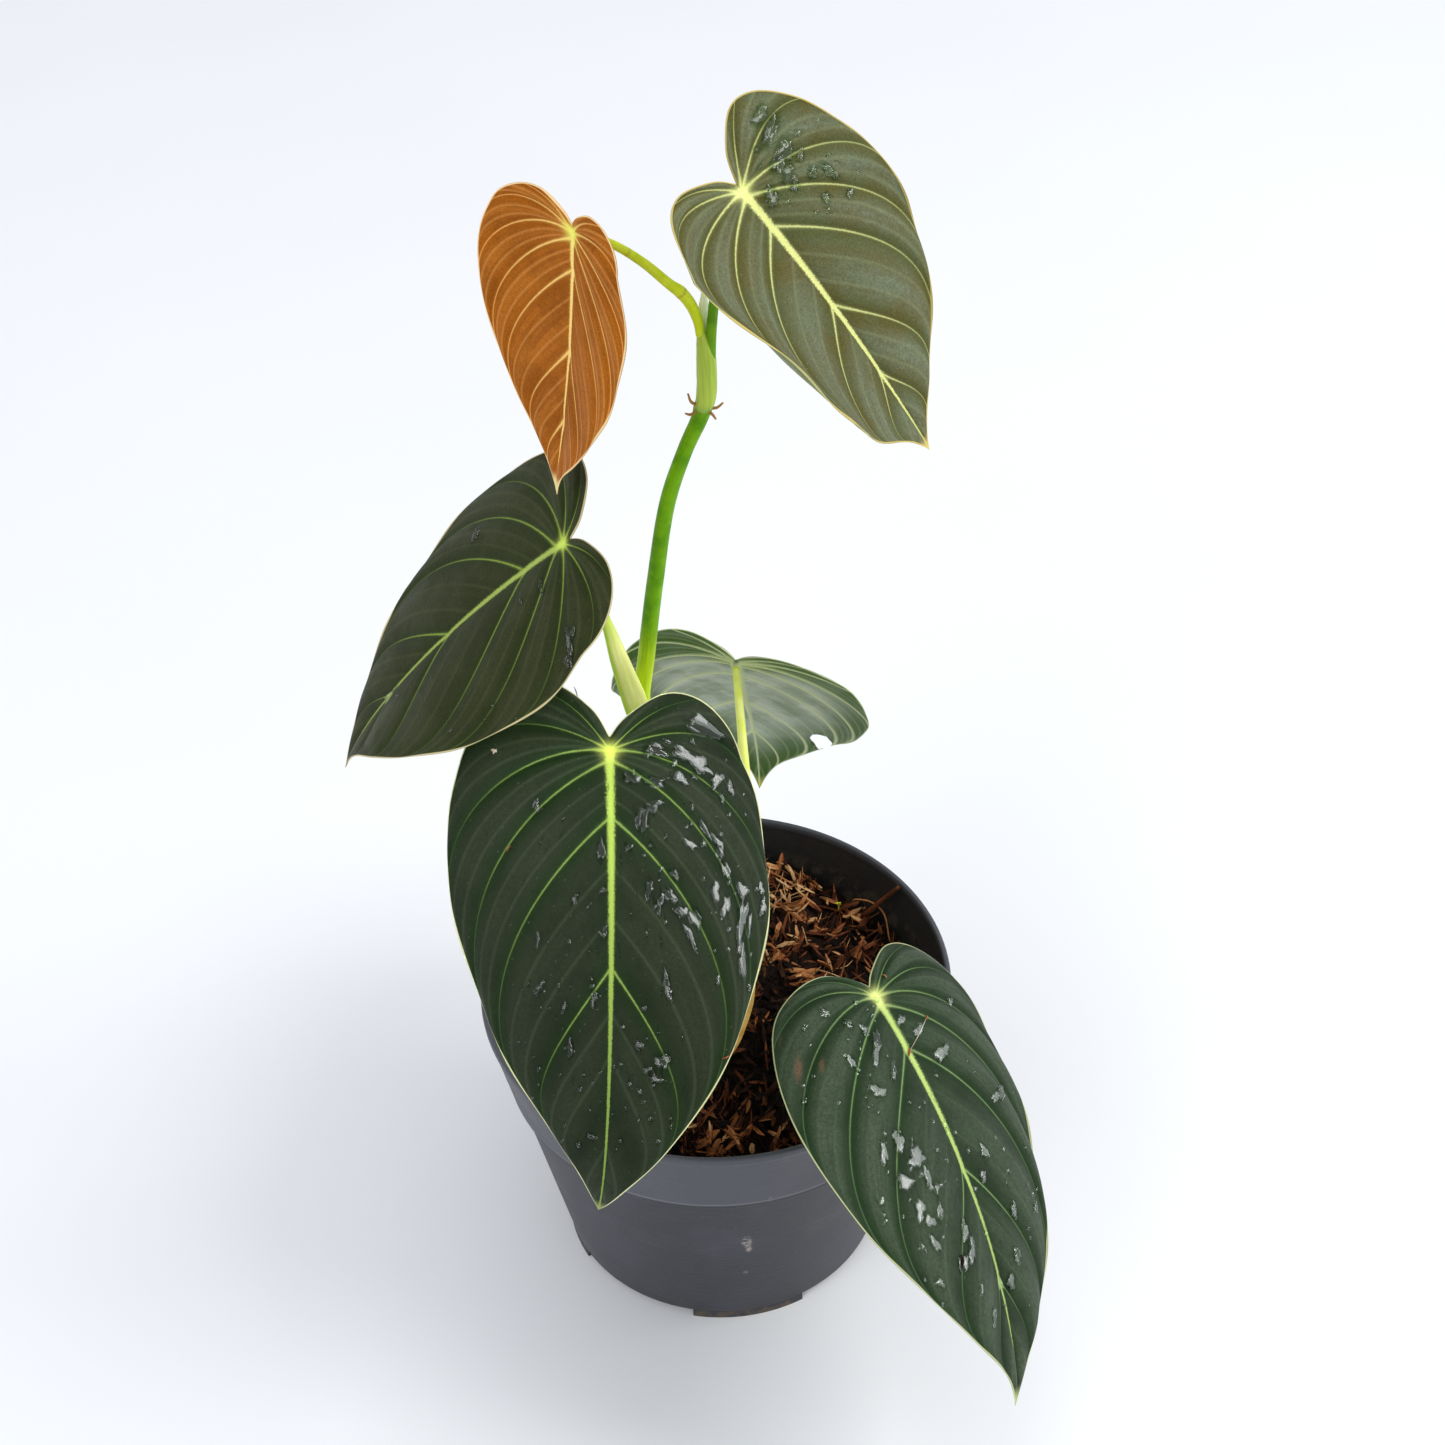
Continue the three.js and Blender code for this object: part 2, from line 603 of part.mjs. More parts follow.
// Adds the upper and lower corner over one grid spot and returns its number
function bladeCorner(leaf, shape, sign, surface, spot, top, under) {
  const nudge = 1e-3;
  const across = Math.max(spot.y, 0);
  const here = surface(shape, sign, spot.x, across);
  const ahead = surface(shape, sign, spot.x + nudge, across).sub(here);
  const outer = surface(shape, sign, spot.x, across + nudge).sub(here).multiplyScalar(sign);
  const normal = new THREE.Vector3().crossVectors(outer, ahead).normalize();
  if (across < 1e-6) {
    const inner = surface(leaf[sign > 0 ? 'left' : 'right'], -sign, spot.x, nudge).sub(here);
    normal.add(new THREE.Vector3().crossVectors(inner.multiplyScalar(-sign), ahead).normalize());
    normal.normalize();
  }
  const between = (spot.n % BLADE.linesPerVein) / BLADE.linesPerVein;
  const puff = BLADE.quilting * Math.sin(Math.PI * between) * Math.sin(Math.PI * spot.spread);
  const wave = (leaf.edgeWave ?? BLADE.edgeWave) * spot.spread ** 3
    * Math.sin(BLADE.wavesPerMargin * Math.PI * spot.share) * Math.sin(Math.PI * spot.share);
  const middle = here.addScaledVector(normal, puff + wave);
  const half = 0.5 * BLADE.thickness;
  const above = middle.clone().addScaledVector(normal, half);
  const below = middle.clone().addScaledVector(normal, -half);
  top.push(above.x, above.y, above.z);
  under.push(below.x, below.y, below.z);
  return top.length / 3 - 1;
}

// An insect bite through the margin
function biteHole(leaf) {
  const surface = bladeSurface(leaf);
  const { along, across, alongRadius, acrossRadius, through } = leaf.bite;
  const middle = surface(leaf.right, 1, along, across);
  const outer = surface(leaf.right, 1, along, across + 0.02).sub(middle).normalize();
  const ahead = surface(leaf.right, 1, along + 0.02, across).sub(middle).normalize();
  const upright = new THREE.Vector3().crossVectors(outer, ahead).normalize();
  const hole = new THREE.CylinderGeometry(acrossRadius, acrossRadius, through, 8);
  hole.scale(1, 1, alongRadius / acrossRadius);
  hole.applyMatrix4(new THREE.Matrix4().makeBasis(
    outer, upright, new THREE.Vector3().crossVectors(outer, upright),
  ));
  hole.translate(middle.x, middle.y, middle.z);
  return solidFrom(hole);
}

// Assembly
const plant = new THREE.Group();

function addPart(name, solid, colour, roughness, place = [0, 0, 0]) {
  const material = new THREE.MeshStandardMaterial({ color: colour, roughness, metalness: 0 });
  const mesh = new THREE.Mesh(geometryFrom(solid), material);
  mesh.name = name;
  mesh.position.set(...place);
  plant.add(mesh);
}

function stalkSolid(stalk, grow = 0) {
  return rod(stalk.path, stalk.wide, stalk.deep, STALK_SIDES, grow);
}

function stemSolid(grow = 0) {
  return rod(STEM.path, STEM.wide, STEM.deep, STEM.sides, grow);
}

function rootedStem() {
  const nubs = ROOT_NUBS.map(({ from, to }) => {
    const middle = from.map((value, k) => (value + to[k]) / 2);
    return rod([from, middle, to], NUB_GIRTH, NUB_GIRTH, 5);
  });
  return joined([stemSolid(), ...nubs]);
}

addPart('pot', potSolid(), COLOURS.pot, 0.55);

const buried = [
  stemSolid(SEAT_GAP), stalkSolid(STALKS.low_right, SEAT_GAP), stalkSolid(STALKS.back, SEAT_GAP),
  stalkSolid(DRIED_SHEATH, SEAT_GAP),
];
addPart('potting_mix', mixSolid(buried), COLOURS.mix, 0.95);
addPart('main_stem', rootedStem(), COLOURS.stem, 0.4);
addPart('dried_sheath', stalkSolid(DRIED_SHEATH), COLOURS.dried, 0.7);

for (const [name, leaf] of Object.entries(LEAVES)) {
  addPart(`${name}_leaf_stalk`, stalkSolid(STALKS[name]), COLOURS.stalk, 0.4);
  const whole = bladeSolid(leaf);
  const blade = leaf.bite ? whole.subtract(biteHole(leaf)) : whole;
  addPart(`${name}_leaf`, blade, leaf.colour, 0.55, leaf.attach);
}

export default plant;
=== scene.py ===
"""A black gold philodendron in its nursery pot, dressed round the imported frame.

Sizes are in millimetres and become metres as each mesh is made. The origin is the middle of the
pot's underside, +Z is up and the plant faces -Y. Colours are display values from 0 to 255.
"""

import logging
import math
import random
from collections.abc import Callable
from dataclasses import dataclass
from enum import Enum

import bpy
import numpy as np
from mathutils import Matrix, Vector, noise
from mathutils.bvhtree import BVHTree


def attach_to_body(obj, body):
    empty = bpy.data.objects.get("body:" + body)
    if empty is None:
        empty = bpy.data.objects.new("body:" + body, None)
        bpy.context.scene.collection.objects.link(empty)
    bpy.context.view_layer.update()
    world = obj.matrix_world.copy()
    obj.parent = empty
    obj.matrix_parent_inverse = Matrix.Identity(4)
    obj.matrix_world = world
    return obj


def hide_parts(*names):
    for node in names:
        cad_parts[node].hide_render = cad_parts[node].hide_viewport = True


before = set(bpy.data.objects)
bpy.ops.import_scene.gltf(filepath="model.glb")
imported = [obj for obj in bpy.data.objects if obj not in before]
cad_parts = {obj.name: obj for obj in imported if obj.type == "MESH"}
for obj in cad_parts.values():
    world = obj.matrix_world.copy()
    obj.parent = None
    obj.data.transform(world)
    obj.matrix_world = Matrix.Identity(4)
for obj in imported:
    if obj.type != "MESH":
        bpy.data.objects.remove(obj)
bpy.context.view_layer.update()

MM = 0.001
LOG = logging.getLogger("philodendron")
Array = np.ndarray
Object = bpy.types.Object
Node = bpy.types.Node
Material = bpy.types.Material
Socket = bpy.types.NodeSocket
Sockets = dict[str, Socket]
Feeds = dict[str | int, object]
Rgb = tuple[int, int, int]
Pair = tuple[float, float]
Spot = tuple[float, float, float]
Widths = tuple[float, ...]
# A mesh's points, triangles, point attributes by name, and sheet coordinates
Skin = tuple[Array, Array, dict[str, Array], Array]

# Half outline of the heart shaped blade: along the midrib in shares of its length, across in
# shares of the half width
HALF_OUTLINE = np.array([
    (-0.03, 0), (-0.075, 0.1), (-0.125, 0.33), (-0.115, 0.56), (-0.055, 0.77), (0.04, 0.9),
    (0.14, 0.975), (0.26, 1), (0.4, 0.965), (0.55, 0.85), (0.7, 0.64), (0.82, 0.38),
    (0.9, 0.17), (0.95, 0.07), (1, 0),
])
# Where each side vein leaves the midrib, and the share of the margin at which it ends
VEIN_START = (0, 0, 0, 0, 0.02, 0.135, 0.436, 0.7, 1)
VEIN_END = (0, 0.15, 0.27, 0.47, 0.655, 0.76, 0.855, 0.93, 1)
# How far a vein leaves at an angle to its chord, in degrees at the base and more towards the tip,
# and how closely it follows the margin at its end
VEIN_FAN = 168.0
VEIN_TURN = (3.0, 90.0)
VEIN_HUG = 0.36
SPACES = len(VEIN_START) - 1
# Lines of the grid between two side veins, closer beside a vein
SUBLINES = (0, 0.02, 0.05, 0.1, 0.16, 0.23, 0.29, 0.333, 0.375, 0.43,
            0.5, 0.57, 0.625, 0.667, 0.71, 0.77, 0.84, 0.9, 0.95, 0.98)
MIDRIB_BACK = -0.4
MIDRIB_STEPS = 140


def tint(red: float, green: float, blue: float) -> tuple[float, float, float, float]:
    """A display colour from 0 to 255 as linear light."""
    def linear(value: float) -> float:
        """One channel as linear light."""
        share = value / 255
        return share / 12.92 if share <= 0.04045 else ((share + 0.055) / 1.055) ** 2.4
    return (linear(red), linear(green), linear(blue), 1.0)


class Shape(Enum):
    """How a map range runs from its start to its end."""

    LINEAR = "LINEAR"
    SMOOTH = "SMOOTHSTEP"


class Graph:
    """Short calls for building one node tree. A value is a number or a socket."""

    def __init__(self, tree: bpy.types.NodeTree) -> None:
        """Takes the tree to build in."""
        self.tree = tree

    def feed(self, socket: Socket, value: object) -> None:
        """Links a socket to another, or sets its value.

        Args:
            socket: the input.
            value: a socket, a number, a vector, or a colour as three display values.
        """
        if isinstance(value, Socket):
            self.tree.links.new(value, socket)
        else:
            display = socket.type == "RGBA" and len(value) == 3
            socket.default_value = tint(*value) if display else value

    def node(self, kind: str, feeds: Feeds | None = None, **settings: object) -> Node:
        """Adds a node.

        Args:
            kind: the node's type name without its ShaderNode prefix.
            feeds: what its inputs get, by name or number.
            settings: properties to set on it.

        Returns:
            The new node.
        """
        made = self.tree.nodes.new("ShaderNode" + kind)
        for name, value in settings.items():
            setattr(made, name, value)
        for key, value in (feeds or {}).items():
            self.feed(made.inputs[key], value)
        return made

    def math(self, operation: str, first: object, second: object = 0.0) -> Socket:
        """One Math node's result."""
        return self.node("Math", {0: first, 1: second}, operation=operation).outputs[0]

    def times(self, first: object, second: object) -> Socket:
        """Two values multiplied."""
        return self.math("MULTIPLY", first, second)

    def mix(self, share: object, first: object, second: object, blend: str = "MIX") -> Socket:
        """Two colours mixed by a share."""
        feeds = {0: share, 6: first, 7: second}
        return self.node("Mix", feeds, data_type="RGBA", blend_type=blend).outputs[2]

    def layered(self, colour: object, *layers: tuple[object, object, object]) -> Socket:
        """Lays colours over a ground, one after another.

        Args:
            colour: the ground.
            layers: the mask, the share of it and the colour of each layer.

        Returns:
            The last colour.
        """
        for mask, share, over in layers:
            colour = self.mix(mask if share == 1 else self.times(mask, share), colour, over)
        return colour

    def span(self, value: object, low: float, high: float, start: float = 0.0,
             end: float = 1.0, shape: Shape = Shape.SMOOTH) -> Socket:
        """Turns low..high of a value into start..end, held at both ends.

        Args:
            value: the value read.
            low: where the result is start.
            high: where the result is end.
            start: the result at low.
            end: the result at high.
            shape: straight or eased.

        Returns:
            The result.
        """
        feeds = dict(enumerate((value, low, high, start, end)))
        return self.node("MapRange", feeds, interpolation_type=shape.value).outputs[0]

    def noise(self, where: object, scale: object, detail: float = 2.0, rough: float = 0.5,
              warp: float = 0.0) -> Socket:
        """A noise texture's value, about 0.5 in the mean."""
        return self.node("TexNoise", {"Vector": where, "Scale": scale, "Detail": detail,
                                      "Roughness": rough, "Distortion": warp}).outputs[0]

    def stretched(self, where: object, scale: Spot) -> Socket:
        """Coordinates scaled on each axis."""
        return self.node("Mapping", {"Vector": where, "Scale": scale}).outputs[0]

    def strip(self, sheet: Socket, across: object, along: object) -> Socket:
        """Sheet coordinates scaled across and along, for streaks and bands."""
        x, y, _ = self.node("SeparateXYZ", {0: sheet}).outputs
        feeds = {0: self.times(x, across), 1: self.times(y, along)}
        return self.node("CombineXYZ", feeds).outputs[0]

    def attribute(self, name: str) -> Socket:
        """A point attribute's value."""
        return self.node("Attribute", attribute_name=name).outputs["Fac"]

    def group(self, name: str, **inputs: object) -> Sockets:
        """Places a node group, feeds its inputs by name and gives its outputs."""
        return self.node("Group", inputs, node_tree=bpy.data.node_groups[name]).outputs

    def bump(self, height: Socket, depth: float) -> Socket:
        """A bump of a depth in metres."""
        return self.node("Bump", {"Distance": depth, "Height": height}).outputs[0]

    def coordinates(self) -> tuple[Socket, Socket, Socket]:
        """A piece's coordinates, its height and its sheet coordinates."""
        found = self.node("TexCoord").outputs
        place = found["Object"]
        return place, self.node("SeparateXYZ", {0: place}).outputs[2], found["UV"]


def build_group(name: str, inputs: str, fill: Callable[[Graph, Sockets], Sockets]) -> None:
    """Builds a node group.

    Args:
        name: the group's name.
        inputs: its inputs' names. Place and Sheet are vectors, and the others are numbers.
        fill: makes the nodes from the inputs, and gives the outputs by name.
    """
    tree = bpy.data.node_groups.new(name, "ShaderNodeTree")
    for label in inputs.split():
        kind = "NodeSocketVector" if label in ("Place", "Sheet") else "NodeSocketFloat"
        tree.interface.new_socket(label, in_out="INPUT", socket_type=kind)
    graph = Graph(tree)
    outputs = fill(graph, tree.nodes.new("NodeGroupInput").outputs)
    for label in outputs:
        tree.interface.new_socket(label, in_out="OUTPUT", socket_type="NodeSocketFloat")
    result = tree.nodes.new("NodeGroupOutput")
    for label, value in outputs.items():
        graph.feed(result.inputs[label], value)


def vein_marks(graph: Graph, given: Sockets) -> Sockets:
    """Turns a blade's distances into masks of midrib, veins, halo, fine veins and margin.

    Args:
        graph: the group's graph.
        given: the distances, and the fuzz that makes them uneven.

    Returns:
        The masks.
    """
    fuzz = graph.math("SUBTRACT", given["Fuzz"], 0.5)
    rib, vein, minor = (graph.math("ADD", given[name], graph.times(fuzz, share))
                        for name, share in (("Rib", 2.0), ("Vein", 2.6), ("Minor", 1.6)))
    return {
        "Rib": graph.span(rib, 1.3, 0.7), "Core": graph.span(rib, 0.85, 0.2),
        "Vein": graph.span(vein, 1.5, 0.5),
        "Glow": graph.math("MAXIMUM", graph.span(vein, 3.6, 1.0), graph.span(rib, 1.8, 1.0)),
        "Halo": graph.math("MAXIMUM", graph.span(given["Vein"], 20.0, 2.0),
                           graph.span(given["Rib"], 3.4, 1.0)),
        "Minor": graph.span(minor, 1.8, 0.2), "Margin": graph.span(given["Edge"], 0.42, 0.2)}


def leaf_mottle(graph: Graph, given: Sockets) -> Sockets:
    """Makes soft patches, bands along the veins, pale specks and the fine nap of a blade.

    Args:
        graph: the group's graph.
        given: the coordinates, and how close the bands are.

    Returns:
        The masks and the grain.
    """
    place = given["Place"]
    cells = graph.node("TexVoronoi", {"Vector": place, "Scale": 640.0}).outputs
    lone = graph.node("SeparateColor", {0: cells["Color"]}).outputs[0]
    bands = graph.noise(graph.strip(given["Sheet"], given["Bands"], 1.5), 1.0, 3, 0.6, 0.25)
    return {
        "Patch": graph.span(graph.noise(place, 62, 4, 0.6), 0.42, 0.62),
        "Band": graph.span(bands, 0.4, 0.66),
        "Speck": graph.times(graph.span(cells["Distance"], 0.2, 0.08), graph.span(lone, 0.8, 0.9)),
        "Grain": graph.noise(place, 2300, 3, 0.65), "Nap": graph.noise(place, 900, 3, 0.6)}


def fibre(graph: Graph, given: Sockets) -> Sockets:
    """Makes streaks along a stem, a sheath or a chip, from its own sheet coordinates."""
    sheet = graph.strip(given["Sheet"], given["Across"], given["Along"])
    return {"Streak": graph.noise(sheet, 1.0, 3, 0.6), "Fine": graph.noise(sheet, 4.0, 2, 0.6)}


def dust(graph: Graph, given: Sockets) -> Sockets:
    """Makes a soft blotch mask and fine grit for the pot and the mix."""
    fine = graph.noise(given["Place"], graph.times(given["Scale"], 22.0), 2, 0.7)
    return {"Blotch": graph.noise(given["Place"], given["Scale"], 5, 0.62), "Grit": fine}


def build_groups() -> None:
    """Builds the node groups that several finishes share."""
    build_group("vein_marks", "Rib Vein Minor Edge Fuzz", vein_marks)
    build_group("leaf_mottle", "Place Sheet Bands", leaf_mottle)
    build_group("fibre", "Sheet Across Along", fibre)
    build_group("dust", "Place Scale", dust)


class Finish:
    """What a piece is made of: its colours and gloss, and how they are painted."""

    def paint(self, graph: Graph) -> Feeds:
        """Makes the material's nodes and gives the shader's inputs by name."""
        raise NotImplementedError

    def material(self, name: str) -> Material:
        """Builds the finish's material.

        Args:
            name: the material's name.

        Returns:
            The material.
        """
        material = bpy.data.materials.new(name)
        material.use_nodes = True
        graph = Graph(material.node_tree)
        shader = material.node_tree.nodes["Principled BSDF"]
        for label, value in self.paint(graph).items():
            graph.feed(shader.inputs[label], value)
        return material


@dataclass(frozen=True)
class LeafFinish(Finish):
    """Colours and gloss of one leaf blade."""

    lamina: Rgb
    patch: Rgb
    # painted sheen: a pale grey-green laid on the ridges between the veins, standing in for the
    # velvet's reflection
    painted_sheen: Rgb
    halo: Rgb
    vein: Rgb
    vein_end: Rgb
    rib: Rgb
    star: Rgb
    minor: Rgb
    margin: Rgb
    under: Rgb
    under_edge: Rgb
    under_vein: Rgb
    tip: Rgb
    scar: Rgb = (92, 62, 38)
    wet: tuple[float, float, float, float] = (0.5, 0.62, 0.42, 1)
    bands: float = 46.0
    patch_share: float = 0.7
    painted_sheen_share: float = 0.6
    band_share: float = 0.35
    halo_share: float = 0.75
    vein_share: float = 0.92
    glow_share: float = 0.16
    rib_fade: float = 0.8
    minor_share: float = 0.2
    speck_share: float = 0.4
    tip_from: float = 0.945
    roughness: float = 0.5
    specular: float = 0.12
    velvet: float = 0.03

    def paint(self, graph: Graph) -> Feeds:
        """Paints both faces, the dry tip and the skin under the water.

        Args:
            graph: the material's graph.

        Returns:
            The shader's inputs by name.
        """
        place, _, sheet = graph.coordinates()
        mottle = graph.group("leaf_mottle", Place=place, Sheet=sheet, Bands=self.bands)
        marks = graph.group(
            "vein_marks", Rib=graph.attribute("rib_gap"), Vein=graph.attribute("vein_gap"),
            Minor=graph.attribute("minor_gap"), Edge=graph.attribute("edge"), Fuzz=mottle["Grain"])
        colour = graph.mix(graph.attribute("under"), self._upper(graph, mottle, marks),
                           self._lower(graph, mottle, marks))
        tip = graph.span(graph.attribute("along"), self.tip_from, self.tip_from + 0.04)
        colour = graph.layered(colour, (tip, 0.85, self.tip))
        wet = graph.attribute("wet")
        rough = graph.span(mottle["Patch"], 0, 1, self.roughness - 0.05, self.roughness + 0.07)
        nap = graph.math("ADD", mottle["Grain"], mottle["Nap"])
        return {"Base Color": graph.mix(wet, colour, graph.mix(1.0, colour, self.wet, "MULTIPLY")),
                "Roughness": graph.math("SUBTRACT", rough, graph.times(wet, 0.3)),
                "Specular IOR Level": self.specular, "Sheen Weight": self.velvet,
                "Sheen Roughness": 0.45, "Normal": graph.bump(nap, 0.00014)}

    def _upper(self, graph: Graph, mottle: Sockets, marks: Sockets) -> Socket:
        """Paints the upper face, with a painted sheen on the quilted ridges between the veins.

        Args:
            graph: the material's graph.
            mottle: the patches, bands, specks and grain.
            marks: the masks of the veins and the margin.

        Returns:
            The colour.
        """
        run, star = graph.attribute("run"), graph.attribute("star")
        # painted sheen on the ridges between the veins, broken up by the nap
        wear_and_sheen = graph.span(mottle["Nap"], 0.3, 0.7, 0.55, 1.0)
        sheen_mask = graph.times(graph.attribute("ridge"), wear_and_sheen)
        colour = graph.layered(
            self.lamina, (mottle["Patch"], self.patch_share, self.patch),
            (sheen_mask, self.painted_sheen_share, self.painted_sheen), (mottle["Band"], self.band_share, self.patch),
            (marks["Halo"], self.halo_share, self.halo),
            (marks["Minor"], self.minor_share, self.minor))
        grain = graph.span(mottle["Grain"], 0.3, 0.7, 0.72, 1.3, Shape.LINEAR)
        colour = graph.mix(1.0, colour, grain, "MULTIPLY")
        vein = graph.mix(graph.span(run, 0.05, 0.8), self.vein, self.vein_end)
        glow = graph.times(marks["Glow"], self.glow_share)
        fading = graph.times(graph.span(graph.attribute("along"), 0.06, 0.8), self.rib_fade)
        bright = graph.mix(fading, self.rib, graph.mix(0.4, self.vein, self.vein_end))
        rib = graph.mix(marks["Core"], graph.mix(0.4, bright, self.vein), bright)
        lit = graph.times(star, graph.math("MAXIMUM", marks["Glow"], star))
        patchy = graph.span(mottle["Nap"], 0.36, 0.56, 0.35, 1.0)
        scar = graph.times(graph.attribute("scar"), patchy)
        return graph.layered(
            colour, (mottle["Speck"], self.speck_share, self.minor),
            (glow, graph.span(run, 1.0, 0.05, 0.25, 1.0), vein),
            (marks["Vein"], self.vein_share, vein), (marks["Rib"], 0.97, rib),
            (lit, 1, self.star), (marks["Margin"], 0.9, self.margin), (scar, 1, self.scar))

    def _lower(self, graph: Graph, mottle: Sockets, marks: Sockets) -> Socket:
        """Paints the underside, paler towards the middle of the blade.

        Args:
            graph: the material's graph.
            mottle: the patches, bands, specks and grain.
            marks: the masks of the veins and the margin.

        Returns:
            The colour.
        """
        edge = graph.attribute("edge")
        clouds = graph.span(mottle["Patch"], 0, 1, 1.0, 0.72)
        inner = graph.times(graph.span(edge, 2.0, 20.0), clouds)
        between = graph.times(graph.attribute("ridge"), graph.span(edge, 0.5, 6.0, 0.0, 0.42))
        colour = graph.layered(
            self.under_edge, (inner, 1, self.under), (between, 1, self.under_edge),
            (graph.span(graph.attribute("along"), 0.13, -0.02), 0.95, self.under_edge),
            (mottle["Band"], 0.2, self.under_edge))
        grain = graph.span(mottle["Grain"], 0.3, 0.7, 0.86, 1.14, Shape.LINEAR)
        veins = graph.math("MAXIMUM", marks["Vein"], marks["Rib"])
        return graph.layered(graph.mix(1.0, colour, grain, "MULTIPLY"), *(
            (mask, share, self.under_vein) for mask, share in (
                (marks["Minor"], 0.16), (marks["Glow"], 0.6), (veins, 0.8),
                (marks["Margin"], 0.6))))


@dataclass(frozen=True)
class StemFinish(Finish):
    """Colours and gloss of a green stem or leaf stalk, and of its pale sheath and brown roots."""

    green: Rgb
    shade: Rgb
    pale: Rgb
    bark: Rgb = (196, 150, 84)
    bark_shade: Rgb = (134, 92, 44)
    upper: Rgb | None = None
    upper_span: Pair = (0.25, 0.32)
    lower: Rgb | None = None
    lower_span: Pair = (0.262, 0.236)
    roughness: float = 0.38
    specular: float = 0.1

    def paint(self, graph: Graph) -> Feeds:
        """Paints the blotches, the ends, the streaks, the pale sheath and the bark.

        Args:
            graph: the material's graph.

        Returns:
            The shader's inputs by name.
        """
        place, height, sheet = graph.coordinates()
        fibres = graph.group("fibre", Sheet=sheet, Across=9.0, Along=0.05)
        blotch = graph.noise(place, 160, 3, 0.6)
        streak = graph.span(fibres["Streak"], 0.35, 0.7)
        bark = graph.attribute("bark")
        colour = graph.mix(graph.span(blotch, 0.35, 0.7), self.green, self.shade)
        for end, reach in ((self.upper, self.upper_span), (self.lower, self.lower_span)):
            if end is not None:
                colour = graph.mix(graph.span(height, *reach), colour, end)
        colour = graph.layered(
            colour, (streak, 0.4, self.shade),
            (graph.attribute("pale"), 1, graph.layered(self.pale, (streak, 0.4, self.green))),
            (bark, 1, graph.mix(streak, self.bark, self.bark_shade)))
        rough = graph.span(blotch, 0.3, 0.7, self.roughness, self.roughness + 0.12)
        return {"Base Color": colour, "Roughness": graph.math("ADD", rough, graph.times(bark, 0.3)),
                "Specular IOR Level": self.specular,
                "Normal": graph.bump(fibres["Streak"], 0.0002)}


@dataclass(frozen=True)
class BarkFinish(Finish):
    """Colours of the shredded bark, from the dampest to the driest chip."""

    wet: Rgb = (12, 8, 6)
    dark: Rgb = (44, 25, 15)
    red: Rgb = (118, 63, 36)
    tan: Rgb = (198, 126, 74)
    straw: Rgb = (240, 192, 136)
    stops: Widths = (0.0, 0.3, 0.55, 0.8, 1.0)

    def paint(self, graph: Graph) -> Feeds:
        """Paints each chip by its own tone, with streaks and grit.

        Args:
            graph: the material's graph.

        Returns:
            The shader's inputs by name.
        """
        place, _, sheet = graph.coordinates()
        fibres = graph.group("fibre", Sheet=sheet, Across=1.6, Along=0.12)
        grime = graph.group("dust", Place=place, Scale=120.0)
        streak = graph.span(fibres["Streak"], 0.25, 0.75, -0.22, 0.2, Shape.LINEAR)
        ramp = graph.node("ValToRGB", {0: graph.math("ADD", graph.attribute("tone"), streak)})
        elements = ramp.color_ramp.elements
        colours = (self.wet, self.dark, self.red, self.tan, self.straw)
        while len(elements) < len(colours):
            elements.new(0.5)
        for element, position, colour in zip(elements, self.stops, colours):
            element.position, element.color = position, tint(*colour)
        grit = graph.span(grime["Grit"], 0.3, 0.7, 0.7, 1.25, Shape.LINEAR)
        rough = graph.math("ADD", fibres["Fine"], grime["Grit"])
        return {"Base Color": graph.mix(1.0, ramp.outputs[0], grit, "MULTIPLY"),
                "Roughness": graph.span(grime["Blotch"], 0.35, 0.65, 0.55, 0.9),
                "Specular IOR Level": 0.15, "Normal": graph.bump(rough, 0.0004)}


